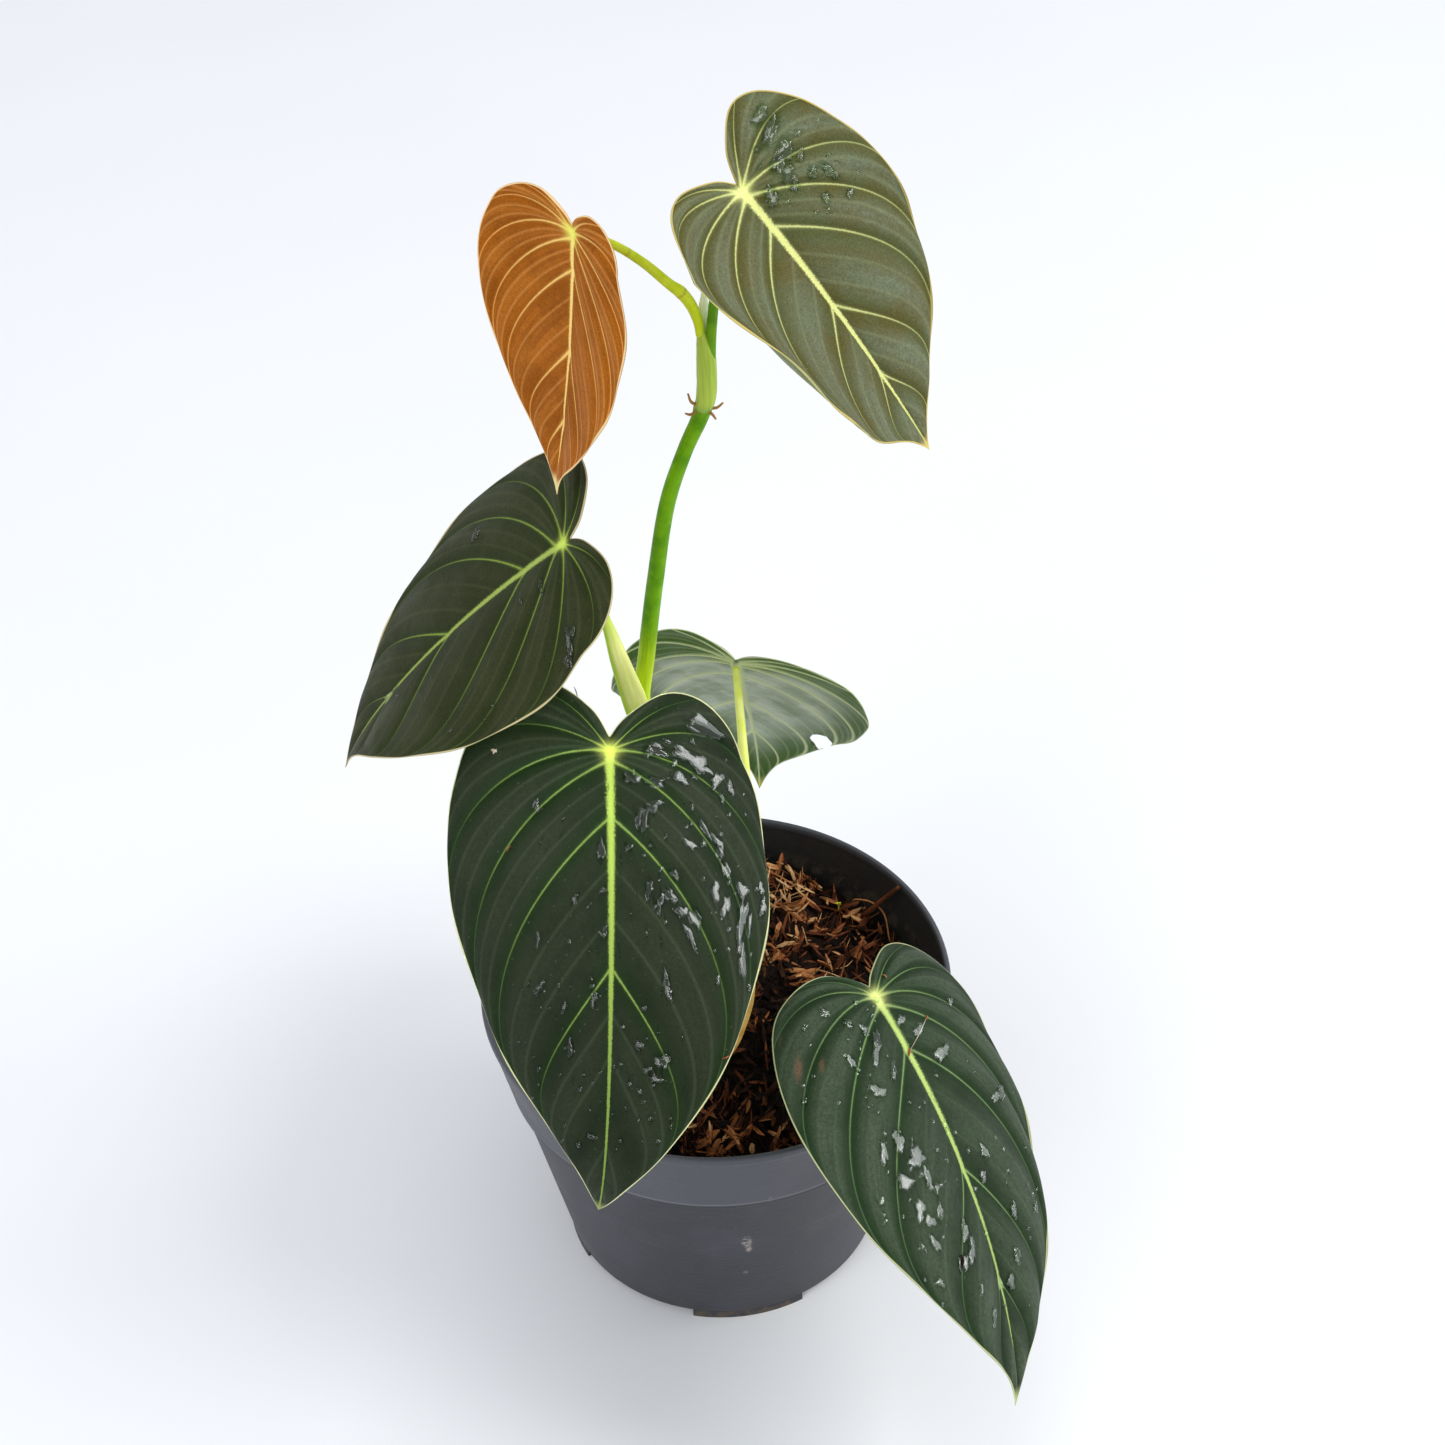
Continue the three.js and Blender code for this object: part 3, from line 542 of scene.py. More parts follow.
@dataclass(frozen=True)
class PotFinish(Finish):
    """Satin grey moulded plastic with scuffs, dust and soil at the foot."""

    body: Rgb = (46, 47, 53)
    wear_and_sheen: Rgb = (64, 65, 73)
    # band: lighter than the body, partly wear and partly painted light, as the body below lies in
    # the leaves' shade
    band: Rgb = (82, 83, 91)
    # inside: painted shade, the inner wall darker than the body
    inside: Rgb = (33, 32, 33)
    # lip: a painted highlight, the pale line along the lip's rounded edge
    lip: Rgb = (136, 136, 142)
    dust: Rgb = (132, 131, 136)
    soil: Rgb = (88, 76, 62)
    pale_mark: Rgb = (196, 184, 174)
    dark_mark: Rgb = (44, 42, 42)
    foot_soil_height: float = 6.0
    lip_height: float = 79.3
    smudges: tuple[Widths, ...] = (
        (7.4, -61.9, 51.7, 2.3, 0.75), (8.0, -60.7, 46.7, 1.5, 0.6), (6.8, -57.5, 30.0, 1.4, 0.25),
        (-30.6, -53.8, 49.7, 4.6, -0.35), (-25.4, -53.7, 37.5, 4.0, -0.35),
        (14.9, -66.4, 79.9, 1.2, 0.35))
    smudge_stretch: Spot = (1.5, 0.5, 0.7)

    def paint(self, graph: Graph) -> Feeds:
        """Paints the worn wall, the band lighter as painted light and wear, a painted highlight
        along the lip, the soiled foot and the inside darkened as painted shade.

        Args:
            graph: the material's graph.

        Returns:
            The shader's inputs by name.
        """
        place, high, _ = graph.coordinates()
        grime = graph.group("dust", Place=place, Scale=32.0)
        blotch, grit = grime["Blotch"], grime["Grit"]
        scuffs = graph.noise(graph.stretched(place, (60, 60, 900)), 1.0, 4, 0.65, 0.6)
        below, above = (self.lip_height - 0.4) * MM, (self.lip_height + 0.4) * MM
        # painted light and wear: the band above the lip lighter than the body
        band_light_and_wear = graph.span(high, below, above, 0, 0.75)
        colour = graph.layered(
            self.body, (graph.span(blotch, 0.4, 0.7), 1, self.wear_and_sheen), (band_light_and_wear, 1, self.band),
            (graph.span(scuffs, 0.6, 0.74), 0.12, self.dust),
            (graph.span(grit, 0.68, 0.76), 0.3, self.dust))
        # painted highlight: a thin pale line along the lip
        rise = graph.math("ABSOLUTE", graph.math("SUBTRACT", high, self.lip_height * MM))
        soil = graph.times(graph.span(high, self.foot_soil_height * MM, 0.0005),
                           graph.span(graph.noise(place, 210, 4, 0.7), 0.42, 0.58))
        edge = graph.times(graph.span(high, 0.0985, 0.0935),
                           graph.span(graph.noise(place, 160, 4, 0.7), 0.45, 0.6))
        # painted shade on the inner wall, with soil smeared just above the mix
        shaded_inside = graph.layered(
            self.inside, (graph.span(blotch, 0.5, 0.75), 1, self.body), (edge, 0.5, self.soil))
        broken = graph.span(graph.noise(place, 520, 4, 0.7), 0.44, 0.58)
        for *middle, size, strength in self.smudges:
            aim = tuple(value * MM * share for value, share in zip(middle, self.smudge_stretch))
            feeds = {0: graph.stretched(place, self.smudge_stretch), 1: aim}
            gap = graph.node("VectorMath", feeds, operation="DISTANCE").outputs[1]
            near = graph.times(graph.span(gap, 1.5 * size * MM, 0.2 * size * MM), broken)
            mark = self.pale_mark if strength > 0 else self.dark_mark
            colour = graph.layered(colour, (near, abs(strength), mark))
        colour = graph.layered(
            colour, (graph.span(rise, 0.0007, 0.0002), 0.4, self.lip),
            (soil, 1, self.soil), (graph.attribute("inner"), 1, shaded_inside))
        return {"Base Color": colour, "Roughness": graph.span(blotch, 0.3, 0.7, 0.44, 0.58),
                "Specular IOR Level": 0.4,
                "Normal": graph.bump(graph.math("ADD", grit, graph.times(scuffs, 1.5)), 0.00008)}


@dataclass(frozen=True)
class WaterFinish(Finish):
    """Clear water, a little brighter in its reflections than real water."""

    roughness: float = 0.02
    bend: float = 1.45

    def paint(self, graph: Graph) -> Feeds:
        """Makes clear water with a faint ripple.

        Args:
            graph: the material's graph.

        Returns:
            The shader's inputs by name.
        """
        ripple = graph.noise(graph.coordinates()[0], 340, 2, 0.5)
        rough = graph.span(ripple, 0.3, 0.7, self.roughness, self.roughness + 0.05)
        return {"Base Color": (0.96, 0.98, 0.97, 1), "Transmission Weight": 1.0, "IOR": self.bend,
                "Roughness": rough, "Normal": graph.bump(ripple, 0.00012)}


@dataclass(frozen=True)
class FloorFinish(Finish):
    """Matt white studio floor."""

    colour: Rgb = (243, 244, 248)

    def paint(self, graph: Graph) -> Feeds:
        """Makes plain paper with a faint cloud in it.

        Args:
            graph: the material's graph.

        Returns:
            The shader's inputs by name.
        """
        cloud = graph.noise(graph.coordinates()[0], 5, 3, 0.5)
        shade = graph.span(cloud, 0.3, 0.7, 0.985, 1.0)
        return {"Base Color": graph.mix(1.0, self.colour, shade, "MULTIPLY"),
                "Roughness": graph.span(cloud, 0.3, 0.7, 0.8, 0.9), "Specular IOR Level": 0.1}


def deselect() -> None:
    """Leaves nothing selected."""
    if bpy.context.object and bpy.context.object.mode != "OBJECT":
        bpy.ops.object.mode_set(mode="OBJECT")
    bpy.ops.object.select_all(action="DESELECT")


def pick(thing: Object) -> None:
    """Selects one object alone and makes it active.

    Args:
        thing: the object.
    """
    deselect()
    thing.select_set(True)
    bpy.context.view_layer.objects.active = thing


def add_object(name: str, data: bpy.types.ID) -> Object:
    """Puts a mesh, a lamp or a camera in the scene.

    Args:
        name: the object's name.
        data: what it shows.

    Returns:
        The object, at the origin.
    """
    made = bpy.data.objects.new(name, data)
    bpy.context.scene.collection.objects.link(made)
    return made


def spin(section: Object, steps: int, degrees: float) -> None:
    """Turns a section about the Z axis into a closed body, and joins a full turn's ends.

    Args:
        section: the section, which becomes the body.
        steps: how many steps the turn has.
        degrees: how far it turns.
    """
    pick(section)
    bpy.ops.object.mode_set(mode="EDIT")
    bpy.ops.mesh.select_all(action="SELECT")
    bpy.ops.mesh.spin(steps=steps, angle=math.radians(degrees), center=(0, 0, 0), axis=(0, 0, 1))
    bpy.ops.mesh.select_all(action="SELECT")
    if degrees == 360:
        bpy.ops.mesh.remove_doubles(threshold=1e-6)
    bpy.ops.mesh.normals_make_consistent(inside=False)
    bpy.ops.object.mode_set(mode="OBJECT")


def mesh_object(name: str, points: Array, faces: Array, values: dict[str, Array] | None = None,
                sheet: Array | None = None) -> Object:
    """Makes a smooth-shaded mesh object.

    Args:
        name: the object's name.
        points: corners in millimetres.
        faces: rows of corner numbers.
        values: point attributes by name.
        sheet: two sheet coordinates for each point, kept as the mesh's own map.

    Returns:
        The object, in the scene, at the origin.
    """
    mesh = bpy.data.meshes.new(name)
    mesh.from_pydata((np.asarray(points) * MM).tolist(), [], np.asarray(faces).tolist())
    for label, numbers in (values or {}).items():
        layer = mesh.attributes.new(label, "FLOAT", "POINT")
        layer.data.foreach_set("value", np.asarray(numbers, np.float32))
    if sheet is not None:
        users = np.zeros(len(mesh.loops), np.int32)
        mesh.loops.foreach_get("vertex_index", users)
        mesh.uv_layers.new(name="sheet").data.foreach_set(
            "uv", np.asarray(sheet, np.float32)[users].ravel())
    mesh.polygons.foreach_set("use_smooth", np.ones(len(mesh.polygons), bool))
    mesh.update()
    return add_object(name, mesh)


def corners(mesh: bpy.types.Mesh) -> Array:
    """Reads a mesh's corners.

    Args:
        mesh: the mesh.

    Returns:
        Its corners in millimetres, one a row.
    """
    found = np.zeros(len(mesh.vertices) * 3)
    mesh.vertices.foreach_get("co", found)
    return found.reshape(-1, 3) / MM


def dress(piece: Object, finish: Material, slot: str, *nodes: str) -> None:
    """Gives a piece its finish and its body, and hides the nodes it stands for.

    Args:
        piece: the finished object.
        finish: what it is made of.
        slot: not used.
        nodes: the frame's nodes that it replaces.
    """
    piece.data.materials.clear()
    piece.data.materials.append(finish)
    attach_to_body(piece, "root")
    if nodes:
        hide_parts(*nodes)
    LOG.info("%s: %d faces", piece.name, len(piece.data.polygons))


def halved(a: Array, b: Array, c: Array, d: Array) -> Array:
    """Two triangles for each cell with the corners a, b, c and d."""
    return np.vstack((np.column_stack((a, b, c)), np.column_stack((a, c, d))))


def tube(rows: int, sides: int, foot: int, top: int) -> Array:
    """Triangles of rings in rows, closed by a fan at each end.

    Args:
        rows: how many rings.
        sides: how many corners a ring has.
        foot: the corner under the first ring.
        top: the corner over the last ring.

    Returns:
        Rows of corner numbers.
    """
    grid = np.arange(rows * sides).reshape(rows, sides)
    after = np.roll(grid, -1, axis=1)
    return np.vstack((
        halved(grid[:-1].ravel(), after[:-1].ravel(), after[1:].ravel(), grid[1:].ravel()),
        np.column_stack((after[0], grid[0], np.full(sides, foot))),
        np.column_stack((grid[-1], after[-1], np.full(sides, top)))))


def joined_meshes(parts: list[Skin]) -> Skin:
    """Joins several meshes.

    Args:
        parts: the meshes, with the same attributes.

    Returns:
        One mesh.
    """
    offsets = np.cumsum([0] + [len(part[0]) for part in parts[:-1]])
    faces = np.vstack([part[1] + offset for part, offset in zip(parts, offsets)])
    values = {key: np.concatenate([part[2][key] for part in parts]) for key in parts[0][2]}
    return (np.vstack([part[0] for part in parts]), faces, values,
            np.vstack([part[3] for part in parts]))


def unit(rows: Array) -> Array:
    """Rows scaled to length one."""
    return rows / np.maximum(np.linalg.norm(rows, axis=-1, keepdims=True), 1e-12)


def distance_run(line: Array) -> Array:
    """How far along a line each of its points lies."""
    return np.concatenate(([0], np.cumsum(np.linalg.norm(np.diff(line, axis=0), axis=1))))


def at_share(line: Array, shares: Array) -> Array:
    """Points of a line at shares of its length."""
    run = distance_run(line)
    return np.column_stack([np.interp(shares, run / run[-1], column) for column in line.T])


def smooth_line(points: Array, per_span: int, even: bool = False) -> Array:
    """A smooth line through points.

    Args:
        points: the points, one a row.
        per_span: steps between two points.
        even: whether the knots are evenly spaced, or by the root of their distance.

    Returns:
        The dense line.
    """
    points = np.asarray(points, float)
    first, last = points[:1], points[-1:]
    if not even:
        first, last = 2 * first - points[1:2], 2 * last - points[-2:-1]
    p = np.vstack((first, points, last))
    share = np.linspace(0, 1, per_span, endpoint=False)[:, None]
    rows = []
    for k in range(1, len(p) - 2):
        a, b, c, d = p[k - 1:k + 3]
        if even:
            leave, arrive = (c - a) / 2, (d - b) / 2
        else:
            i, j, m = (max(np.linalg.norm(v) ** 0.5, 1e-4) for v in (b - a, c - b, d - c))
            leave = ((b - a) / i - (c - a) / (i + j) + (c - b) / j) * j
            arrive = ((c - b) / j - (d - b) / (j + m) + (d - c) / m) * j
        rows.append(
            (2 * b - 2 * c + leave + arrive) * share ** 3
            + (-3 * b + 3 * c - 2 * leave - arrive) * share ** 2 + leave * share + b)
    return np.vstack([*rows, points[-1:]])


def nearest(points: Array, line: Array) -> tuple[Array, Array]:
    """How far points lie from a line, and where along it the nearest spot is.

    Args:
        points: the points, one a row.
        line: the line's corners, one a row.

    Returns:
        The distances, and the shares of the line's corners.
    """
    step = np.diff(line, axis=0)
    away = points[:, None, :] - line[None, :-1, :]
    spot = np.clip((away * step).sum(-1) / np.maximum((step * step).sum(-1), 1e-12), 0, 1)
    gap = np.linalg.norm(away - spot[..., None] * step, axis=-1)
    best = gap.argmin(1)
    rows = np.arange(len(points))
    return gap[rows, best], (best + spot[rows, best]) / len(step)


@dataclass(frozen=True)
class HalfBlade:
    """One half of a blade: its width, its lobe, and how it folds and curls, in degrees."""

    width: float
    lobe: float
    fold: float
    cup: float
    lift: float


@dataclass(frozen=True)
class Bite:
    """A bite through the margin, in shares of the length and millimetres."""

    along: float
    across: float
    along_radius: float
    across_radius: float


@dataclass(frozen=True)
class Veins:
    """Half widths of a blade's veins in millimetres, their relief, and each side vein's strength.

    A groove is given by its depth and its half width, in millimetres.
    """

    rib_base: float = 1.7
    rib_tip: float = 0.22
    rib_power: float = 1.6
    side_base: float = 0.4
    side_tip: float = 0.15
    minor: float = 0.42
    star: float = 3.2
    strength: Widths = (0.0, 0.6, 0.8, 1.0, 1.0, 1.0, 0.9, 0.55)
    rib_groove: Pair = (0.3, 2.2)
    side_groove: Pair = (0.26, 1.1)
    crown: float = 0.22
    keel: float = 0.95
    ridge: float = 0.75


@dataclass(frozen=True)
class Scar:
    """A brown patch on a blade: its photograph pixel, and its width and height in pixels."""

    across: float
    down: float
    wide: float
    high: float
    strength: float = 1.0


@dataclass(frozen=True)
class Blade:
    """A leaf blade: where its stalk meets it, the way it points there, and how it bends.

    Heading runs from -Y towards +X, dip is below level, roll is about the midrib, and all angles
    are in degrees. The bends are over the whole blade.
    """

    name: str
    attach: Spot
    heading: float
    dip: float
    roll: float
    length: float
    bend: float
    droop: float
    swerve: float
    twist: float
    belly: float
    right: HalfBlade
    left: HalfBlade
    finish: LeafFinish
    veins: Veins = Veins()
    bite: Bite | None = None
    scars: tuple[Scar, ...] = ()
    thickness: float = 0.44
    quilting: float = 0.6
    edge_wave: float = 0.8
    steps: int = 50

    def outline(self, half: HalfBlade) -> Array:
        """Draws a half's outline.

        Args:
            half: the half blade.

        Returns:
            A dense line, in shares of the length.
        """
        along, across = HALF_OUTLINE.T
        stretch = np.where((along < 0) & (np.arange(len(along)) > 0), half.lobe, 1.0)
        belly = np.where(along > 0, self.belly * np.sin(np.pi * along), 0.0)
        points = np.column_stack((along * stretch + belly, across * half.width / self.length))
        return smooth_line(points, 30, even=True)

    def vein_lines(self, outline: Array, numbers: Array, spreads: Array) -> Array:
        """Draws side veins, whole or between two, over a half blade.

        Args:
            outline: the half's outline.
            numbers: the veins' numbers.
            spreads: the shares of each line at which it has points.

        Returns:
            Points in shares of the length, one row of them for each vein.
        """
        places = np.arange(len(VEIN_START))
        begin = np.column_stack((np.interp(numbers, places, VEIN_START), np.zeros(len(numbers))))
        share = np.interp(numbers, places, VEIN_END)
        end = at_share(outline, share)
        ahead = unit(at_share(outline, np.minimum(share + 0.01, 1))
                     - at_share(outline, np.maximum(share - 0.01, 0)))
        chord = end - begin
        size = np.linalg.norm(chord, axis=1)[:, None]
        aim = np.arctan2(chord[:, 1], chord[:, 0])
        fan = np.radians(180 - VEIN_FAN * share ** 0.93)
        turn = aim + np.minimum(fan - aim, np.radians(VEIN_TURN[0] + VEIN_TURN[1] * share))
        way = np.column_stack((np.cos(turn), np.sin(turn)))
        hug = (np.clip((share - 0.12) / 0.3, 0, 1) * np.clip((1 - share) / 0.08, 0, 1))[:, None]
        first = begin + (0.5 - 0.12 * hug) * size * way
        straight = end + (begin + 0.5 * size * way - end) * 2 / 3
        last = straight + (end - ahead * size * VEIN_HUG - straight) * hug
        s = spreads[None, :, None]
        return ((1 - s) ** 3 * begin[:, None] + 3 * s * (1 - s) ** 2 * first[:, None]
                + 3 * s ** 2 * (1 - s) * last[:, None] + s ** 3 * end[:, None])

    def midrib(self) -> tuple[Array, Array]:
        """Bends the midrib.

        Returns:
            The shares along the midrib, and at each the place, the right-hand direction and the
            normal as a row of nine numbers.
        """
        heading, dip, roll = np.radians((self.heading, self.dip, self.roll))
        east, south = np.sin(heading), -np.cos(heading)
        ahead = np.array((np.cos(dip) * east, np.cos(dip) * south, -np.sin(dip)))
        level = np.array((np.sin(dip) * east, np.sin(dip) * south, np.cos(dip)))
        up = np.cos(roll) * level + np.sin(roll) * np.cross(ahead, level)
        side = np.cross(ahead, up)
        u = np.linspace(MIDRIB_BACK, 1, MIDRIB_STEPS + 1)
        bend = np.radians(self.bend * u + self.droop * np.maximum(u, 0) ** 5)[:, None]
        swerve = np.radians(self.swerve * u)[:, None]
        twist = np.radians(self.twist * u)[:, None]
        falling = np.cos(bend) * ahead - np.sin(bend) * up
        tangent = np.cos(swerve) * falling + np.sin(swerve) * side
        flat = np.cos(swerve) * side - np.sin(swerve) * falling
        right = np.cos(twist) * flat + np.sin(twist) * np.cross(flat, tangent)
        normal = np.cross(right, tangent)
        middle = (tangent[1:] + tangent[:-1]) * 0.5 * (u[1] - u[0]) * self.length
        place = np.vstack((np.zeros(3), np.cumsum(middle, axis=0)))
        place -= place[np.abs(u).argmin()]
        return u, np.hstack((place, right, normal))

    def surface(self, sign: int, along: Array, across: Array) -> Array:
        """Places the blade's middle surface.

        Args:
            sign: 1 for the right half and -1 for the left.
            along: shares of the length along the midrib.
            across: shares of the length across it.

        Returns:
            Points in millimetres.
        """
        half = self.right if sign > 0 else self.left
        u, rows = self.midrib()
        frames = np.stack([np.interp(along, u, column) for column in rows.T], axis=-1)
        reach = across * self.length
        fold = np.radians(half.fold + half.lift * np.clip(-along / 0.12, 0, 2))
        curl = math.radians(half.cup) / half.width
        outward = (np.sin(fold) - np.sin(fold - curl * reach)) / curl
        rise = (np.cos(fold - curl * reach) - np.cos(fold)) / curl
        place, right, normal = frames[..., :3], frames[..., 3:6], frames[..., 6:]
        return (np.array(self.attach) + place + sign * outward[..., None] * right
                + rise[..., None] * normal)

    def normals(self, sign: int, along: Array, across: Array) -> Array:
        """Finds the middle surface's normals, shared by both halves on the midrib.

        Args:
            sign: 1 for the right half and -1 for the left.
            along: shares of the length along the midrib.
            across: shares of the length across it.

        Returns:
            The normals, one a row.
        """
        nudge = 1e-3
        here = self.surface(sign, along, across)
        ahead = self.surface(sign, along + nudge, across) - here
        outer = (self.surface(sign, along, across + nudge) - here) * sign
        found = unit(np.cross(outer, ahead))
        inner = (self.surface(-sign, along, across * 0 + nudge) - here) * -sign
        shared = unit(found + unit(np.cross(inner, ahead)))
        return np.where((across < 1e-6)[..., None], shared, found)

    def _gaps(self, flat: Array, outline: Array) -> dict[str, Array]:
        """Measures from flat blade points to the veins and the margin.

        Args:
            flat: points in shares of the length, one a row.
            outline: the half's outline.

        Returns:
            Attribute values by name, with the side vein's width under "vein_width".
        """
        def vein_line(number: float) -> Array:
            """One vein, in millimetres."""
            return self.vein_lines(outline, np.array([number]), spreads)[0] * self.length

        points = flat * self.length
        spreads = np.linspace(0, 1, 40)
        veins = self.veins
        fall = (1 - np.clip(flat[:, 0], 0, 1)) ** veins.rib_power
        rib_width = veins.rib_tip + (veins.rib_base - veins.rib_tip) * fall
        behind = np.hypot(points[:, 0], points[:, 1])
        rib = np.where(points[:, 0] > 0, points[:, 1], behind) / rib_width
        best, minor = np.full(len(points), 1e3), np.full(len(points), 1e3)
        width, run = np.full(len(points), veins.side_base), np.zeros(len(points))
        for number in (n for n in range(1, SPACES) if veins.strength[n] > 0):
            line = vein_line(float(number))
            gap, share = nearest(points, line)
            flare = 1 + 0.9 * np.exp(-np.linalg.norm(points - line[0], axis=1) / 4.5)
            wide = (veins.side_tip + (veins.side_base - veins.side_tip) * (1 - share)) * flare
            wide = wide * veins.strength[number]
            better = gap / wide < best
            best = np.where(better, gap / wide, best)
            width = np.where(better, wide, width)
            run = np.where(better, share, run)
        for number in (n + part for n in range(SPACES) for part in (1 / 3, 2 / 3)):
            minor = np.minimum(minor, nearest(points, vein_line(number))[0] / veins.minor)
        return {"rib_gap": rib, "vein_gap": best, "minor_gap": minor,
                "edge": nearest(points, outline * self.length)[0], "run": run,
                "star": np.exp(-(behind / veins.star) ** 2), "rib_width": rib_width,
                "vein_width": width}

    def _half(self, sign: int, lines: Array, spreads: Array) -> Skin:
        """Makes one half of the sheet.

        Args:
            sign: 1 for the right half and -1 for the left.
            lines: the numbers of the vein lines that it runs along.
            spreads: the shares of each line at which it has corners.

        Returns:
            Points, normals, attribute values and sheet coordinates.
        """
        outline = self.outline(self.right if sign > 0 else self.left)
        flat = self.vein_lines(outline, lines, spreads).reshape(-1, 2)
        flat[:, 1] = np.maximum(flat[:, 1], 0)
        normal = self.normals(sign, flat[:, 0], flat[:, 1])
        share = np.repeat(np.interp(lines, range(SPACES + 1), VEIN_END), len(spreads))
        spread = np.tile(spreads, len(lines))
        between = np.repeat(lines % 1, len(spreads))
        puff = self.quilting * np.sin(np.pi * between) * np.sin(np.pi * spread)
        wave = self.edge_wave * spread ** 3 * np.sin(9 * np.pi * share) * np.sin(np.pi * share)
        ripple = 0.25 * spread ** 2 * np.sin(31 * share + 2.1 * sign) * np.sin(np.pi * share)
        relief = (puff + wave + ripple)[:, None]
        middle = self.surface(sign, flat[:, 0], flat[:, 1]) + relief * normal
        tops = np.sin(np.pi * between) ** 1.5 * np.sin(np.pi * np.clip(spread, 0, 0.97)) ** 0.5
        values = self._gaps(flat, outline) | {
            "along": flat[:, 0], "ridge": tops, "flat_x": flat[:, 0], "flat_y": flat[:, 1] * sign}
        aside = np.repeat(lines / SPACES, len(spreads)) + (sign < 0) * 1.5
        return middle, normal, values, np.column_stack((aside, spread))

    def _sheet(self) -> tuple[Array, Array, Array, dict[str, Array], Array]:
        """Joins both halves into one sheet, less the bite.

        Returns:
            Middle points, normals, triangles, attribute values, and sheet coordinates.
        """
        lines = np.array([n + s for n in range(SPACES) for s in SUBLINES] + [float(SPACES)])
        spreads = np.linspace(0, 1, self.steps + 1) ** 1.25
        count = len(lines) * len(spreads)
        grid = np.arange(count).reshape(len(lines), len(spreads))
        cells = halved(grid[:-1, :-1].ravel(), grid[:-1, 1:].ravel(),
                       grid[1:, 1:].ravel(), grid[1:, :-1].ravel())
        halves = [self._half(sign, lines, spreads) for sign in (1, -1)]
        points, normals, sheet = (np.vstack([half[k] for half in halves]) for k in (0, 1, 3))
        values = {key: np.concatenate([half[2][key] for half in halves]) for key in halves[0][2]}
        rounded = np.round(points, 3)
        _, first, back = np.unique(rounded, axis=0, return_index=True, return_inverse=True)
        faces = back.ravel()[np.vstack((cells, cells[:, ::-1] + count))]
        a, b, c = faces.T
        faces = faces[(a != b) & (b != c) & (a != c)]
        points, values = points[first], {key: numbers[first] for key, numbers in values.items()}
        if self.bite:
            points, faces = self._bitten(points, faces, values)
        used = np.unique(faces)
        place = np.full(len(points), -1)
        place[used] = np.arange(len(used))
        kept = first[used]
        values = {key: numbers[used] for key, numbers in values.items()}
        return points[used], normals[kept], place[faces], values, sheet[kept]

    def _bitten(self, points: Array, faces: Array, values: dict[str, Array]) -> tuple[Array, Array]:
        """Cuts the bite out of the sheet: corners inside it move to its edge.

        Args:
            points: the sheet's points.
            faces: its triangles.
            values: its attribute values.

        Returns:
            The points and triangles that stay.
        """
        bite = self.bite
        x = (values["flat_x"] - bite.along) * self.length / bite.along_radius
        y = (values["flat_y"] - bite.across) * self.length / bite.across_radius
        reach, turn = np.hypot(x, y), np.arctan2(y, x)
        limit = 1 + 0.14 * np.sin(3 * turn + 0.6) + 0.07 * np.sin(7 * turn)
        inside = reach < limit
        ring = np.flatnonzero((~inside) & (reach < limit + 0.5))
        moved = points.copy()
        for k in np.flatnonzero(inside & (reach > limit - 0.5)):
            close = ring[((points[ring] - points[k]) ** 2).sum(1).argmin()]
            pull = (limit[k] - reach[k]) / max(reach[close] - reach[k], 1e-6)
            moved[k] = points[k] + (points[close] - points[k]) * min(pull, 1)
        return moved, faces[~inside[faces].all(1)]

    def build(self, camera: "Camera") -> Object:
        """Makes the blade with its sunken veins above and its raised ribs below.

        Args:
            camera: the camera that the scars' pixels refer to.

        Returns:
            The blade.
        """
        middle, normal, faces, values, sheet = self._sheet()
        veins, edge = self.veins, np.clip(values["edge"] / 1.2, 0, 1)
        rib, rib_width = values["rib_gap"], values["rib_width"]
        vein, vein_width = values["vein_gap"], values["vein_width"]
        half = 0.5 * self.thickness * (0.55 + 0.45 * edge)
        (rib_deep, rib_wide), (deep, wide) = veins.rib_groove, veins.side_groove
        groove = (rib_deep * np.exp(-(rib * rib_width / rib_wide) ** 2)
                  + deep * np.exp(-(vein * vein_width / wide) ** 2) * edge)
        crown = veins.crown * np.clip(1 - rib ** 2, 0, 1) * rib_width
        keel = veins.keel * rib_width * np.sqrt(np.clip(1 - (rib / 1.1) ** 2, 0, 1))
        ridge = veins.ridge * vein_width * np.sqrt(np.clip(1 - (vein / 1.6) ** 2, 0, 1)) * edge
        top = middle + (half - groove + crown)[:, None] * normal
        below = middle - (half + np.maximum(keel, ridge))[:, None] * normal
        count = len(middle)
        whole = np.vstack((faces, faces[:, ::-1] + count, self._walls(faces, count)))
        kept = ("rib_gap", "vein_gap", "minor_gap", "edge", "along", "run", "star", "ridge")
        attributes = {key: np.tile(values[key], 2) for key in kept}
        attributes["under"] = np.repeat((0.0, 1.0), count)
        attributes["wet"], attributes["scar"] = np.zeros(2 * count), np.zeros(2 * count)
        brown = attributes["scar"][:count]
        for scar in self.scars:
            across, down = (camera.project(top) - (scar.across, scar.down)).T
            reach = np.hypot(across / scar.wide, down / scar.high)
            brown[:] = np.maximum(brown, scar.strength * np.clip(1.6 - 2 * reach, 0, 1))
        made = mesh_object(f"{self.name}_blade", np.vstack((top, below)), whole, attributes,
                           np.vstack((sheet, sheet)))
        leaf = f"{self.name}_leaf"
        dress(made, self.finish.material(f"{leaf}_skin"), leaf, leaf)
        return made

    @staticmethod
    def _walls(faces: Array, count: int) -> Array:
        """Closes the margin between the upper and the lower face.

        Args:
            faces: the upper face's triangles.
            count: how many corners it has.

        Returns:
            The wall's triangles.
        """
        edges = np.vstack((faces[:, (0, 1)], faces[:, (1, 2)], faces[:, (2, 0)]))
        codes = edges[:, 0] * count + edges[:, 1]
        a, b = edges[~np.isin(codes, edges[:, 1] * count + edges[:, 0])].T
        return halved(b, a, a + count, b + count)


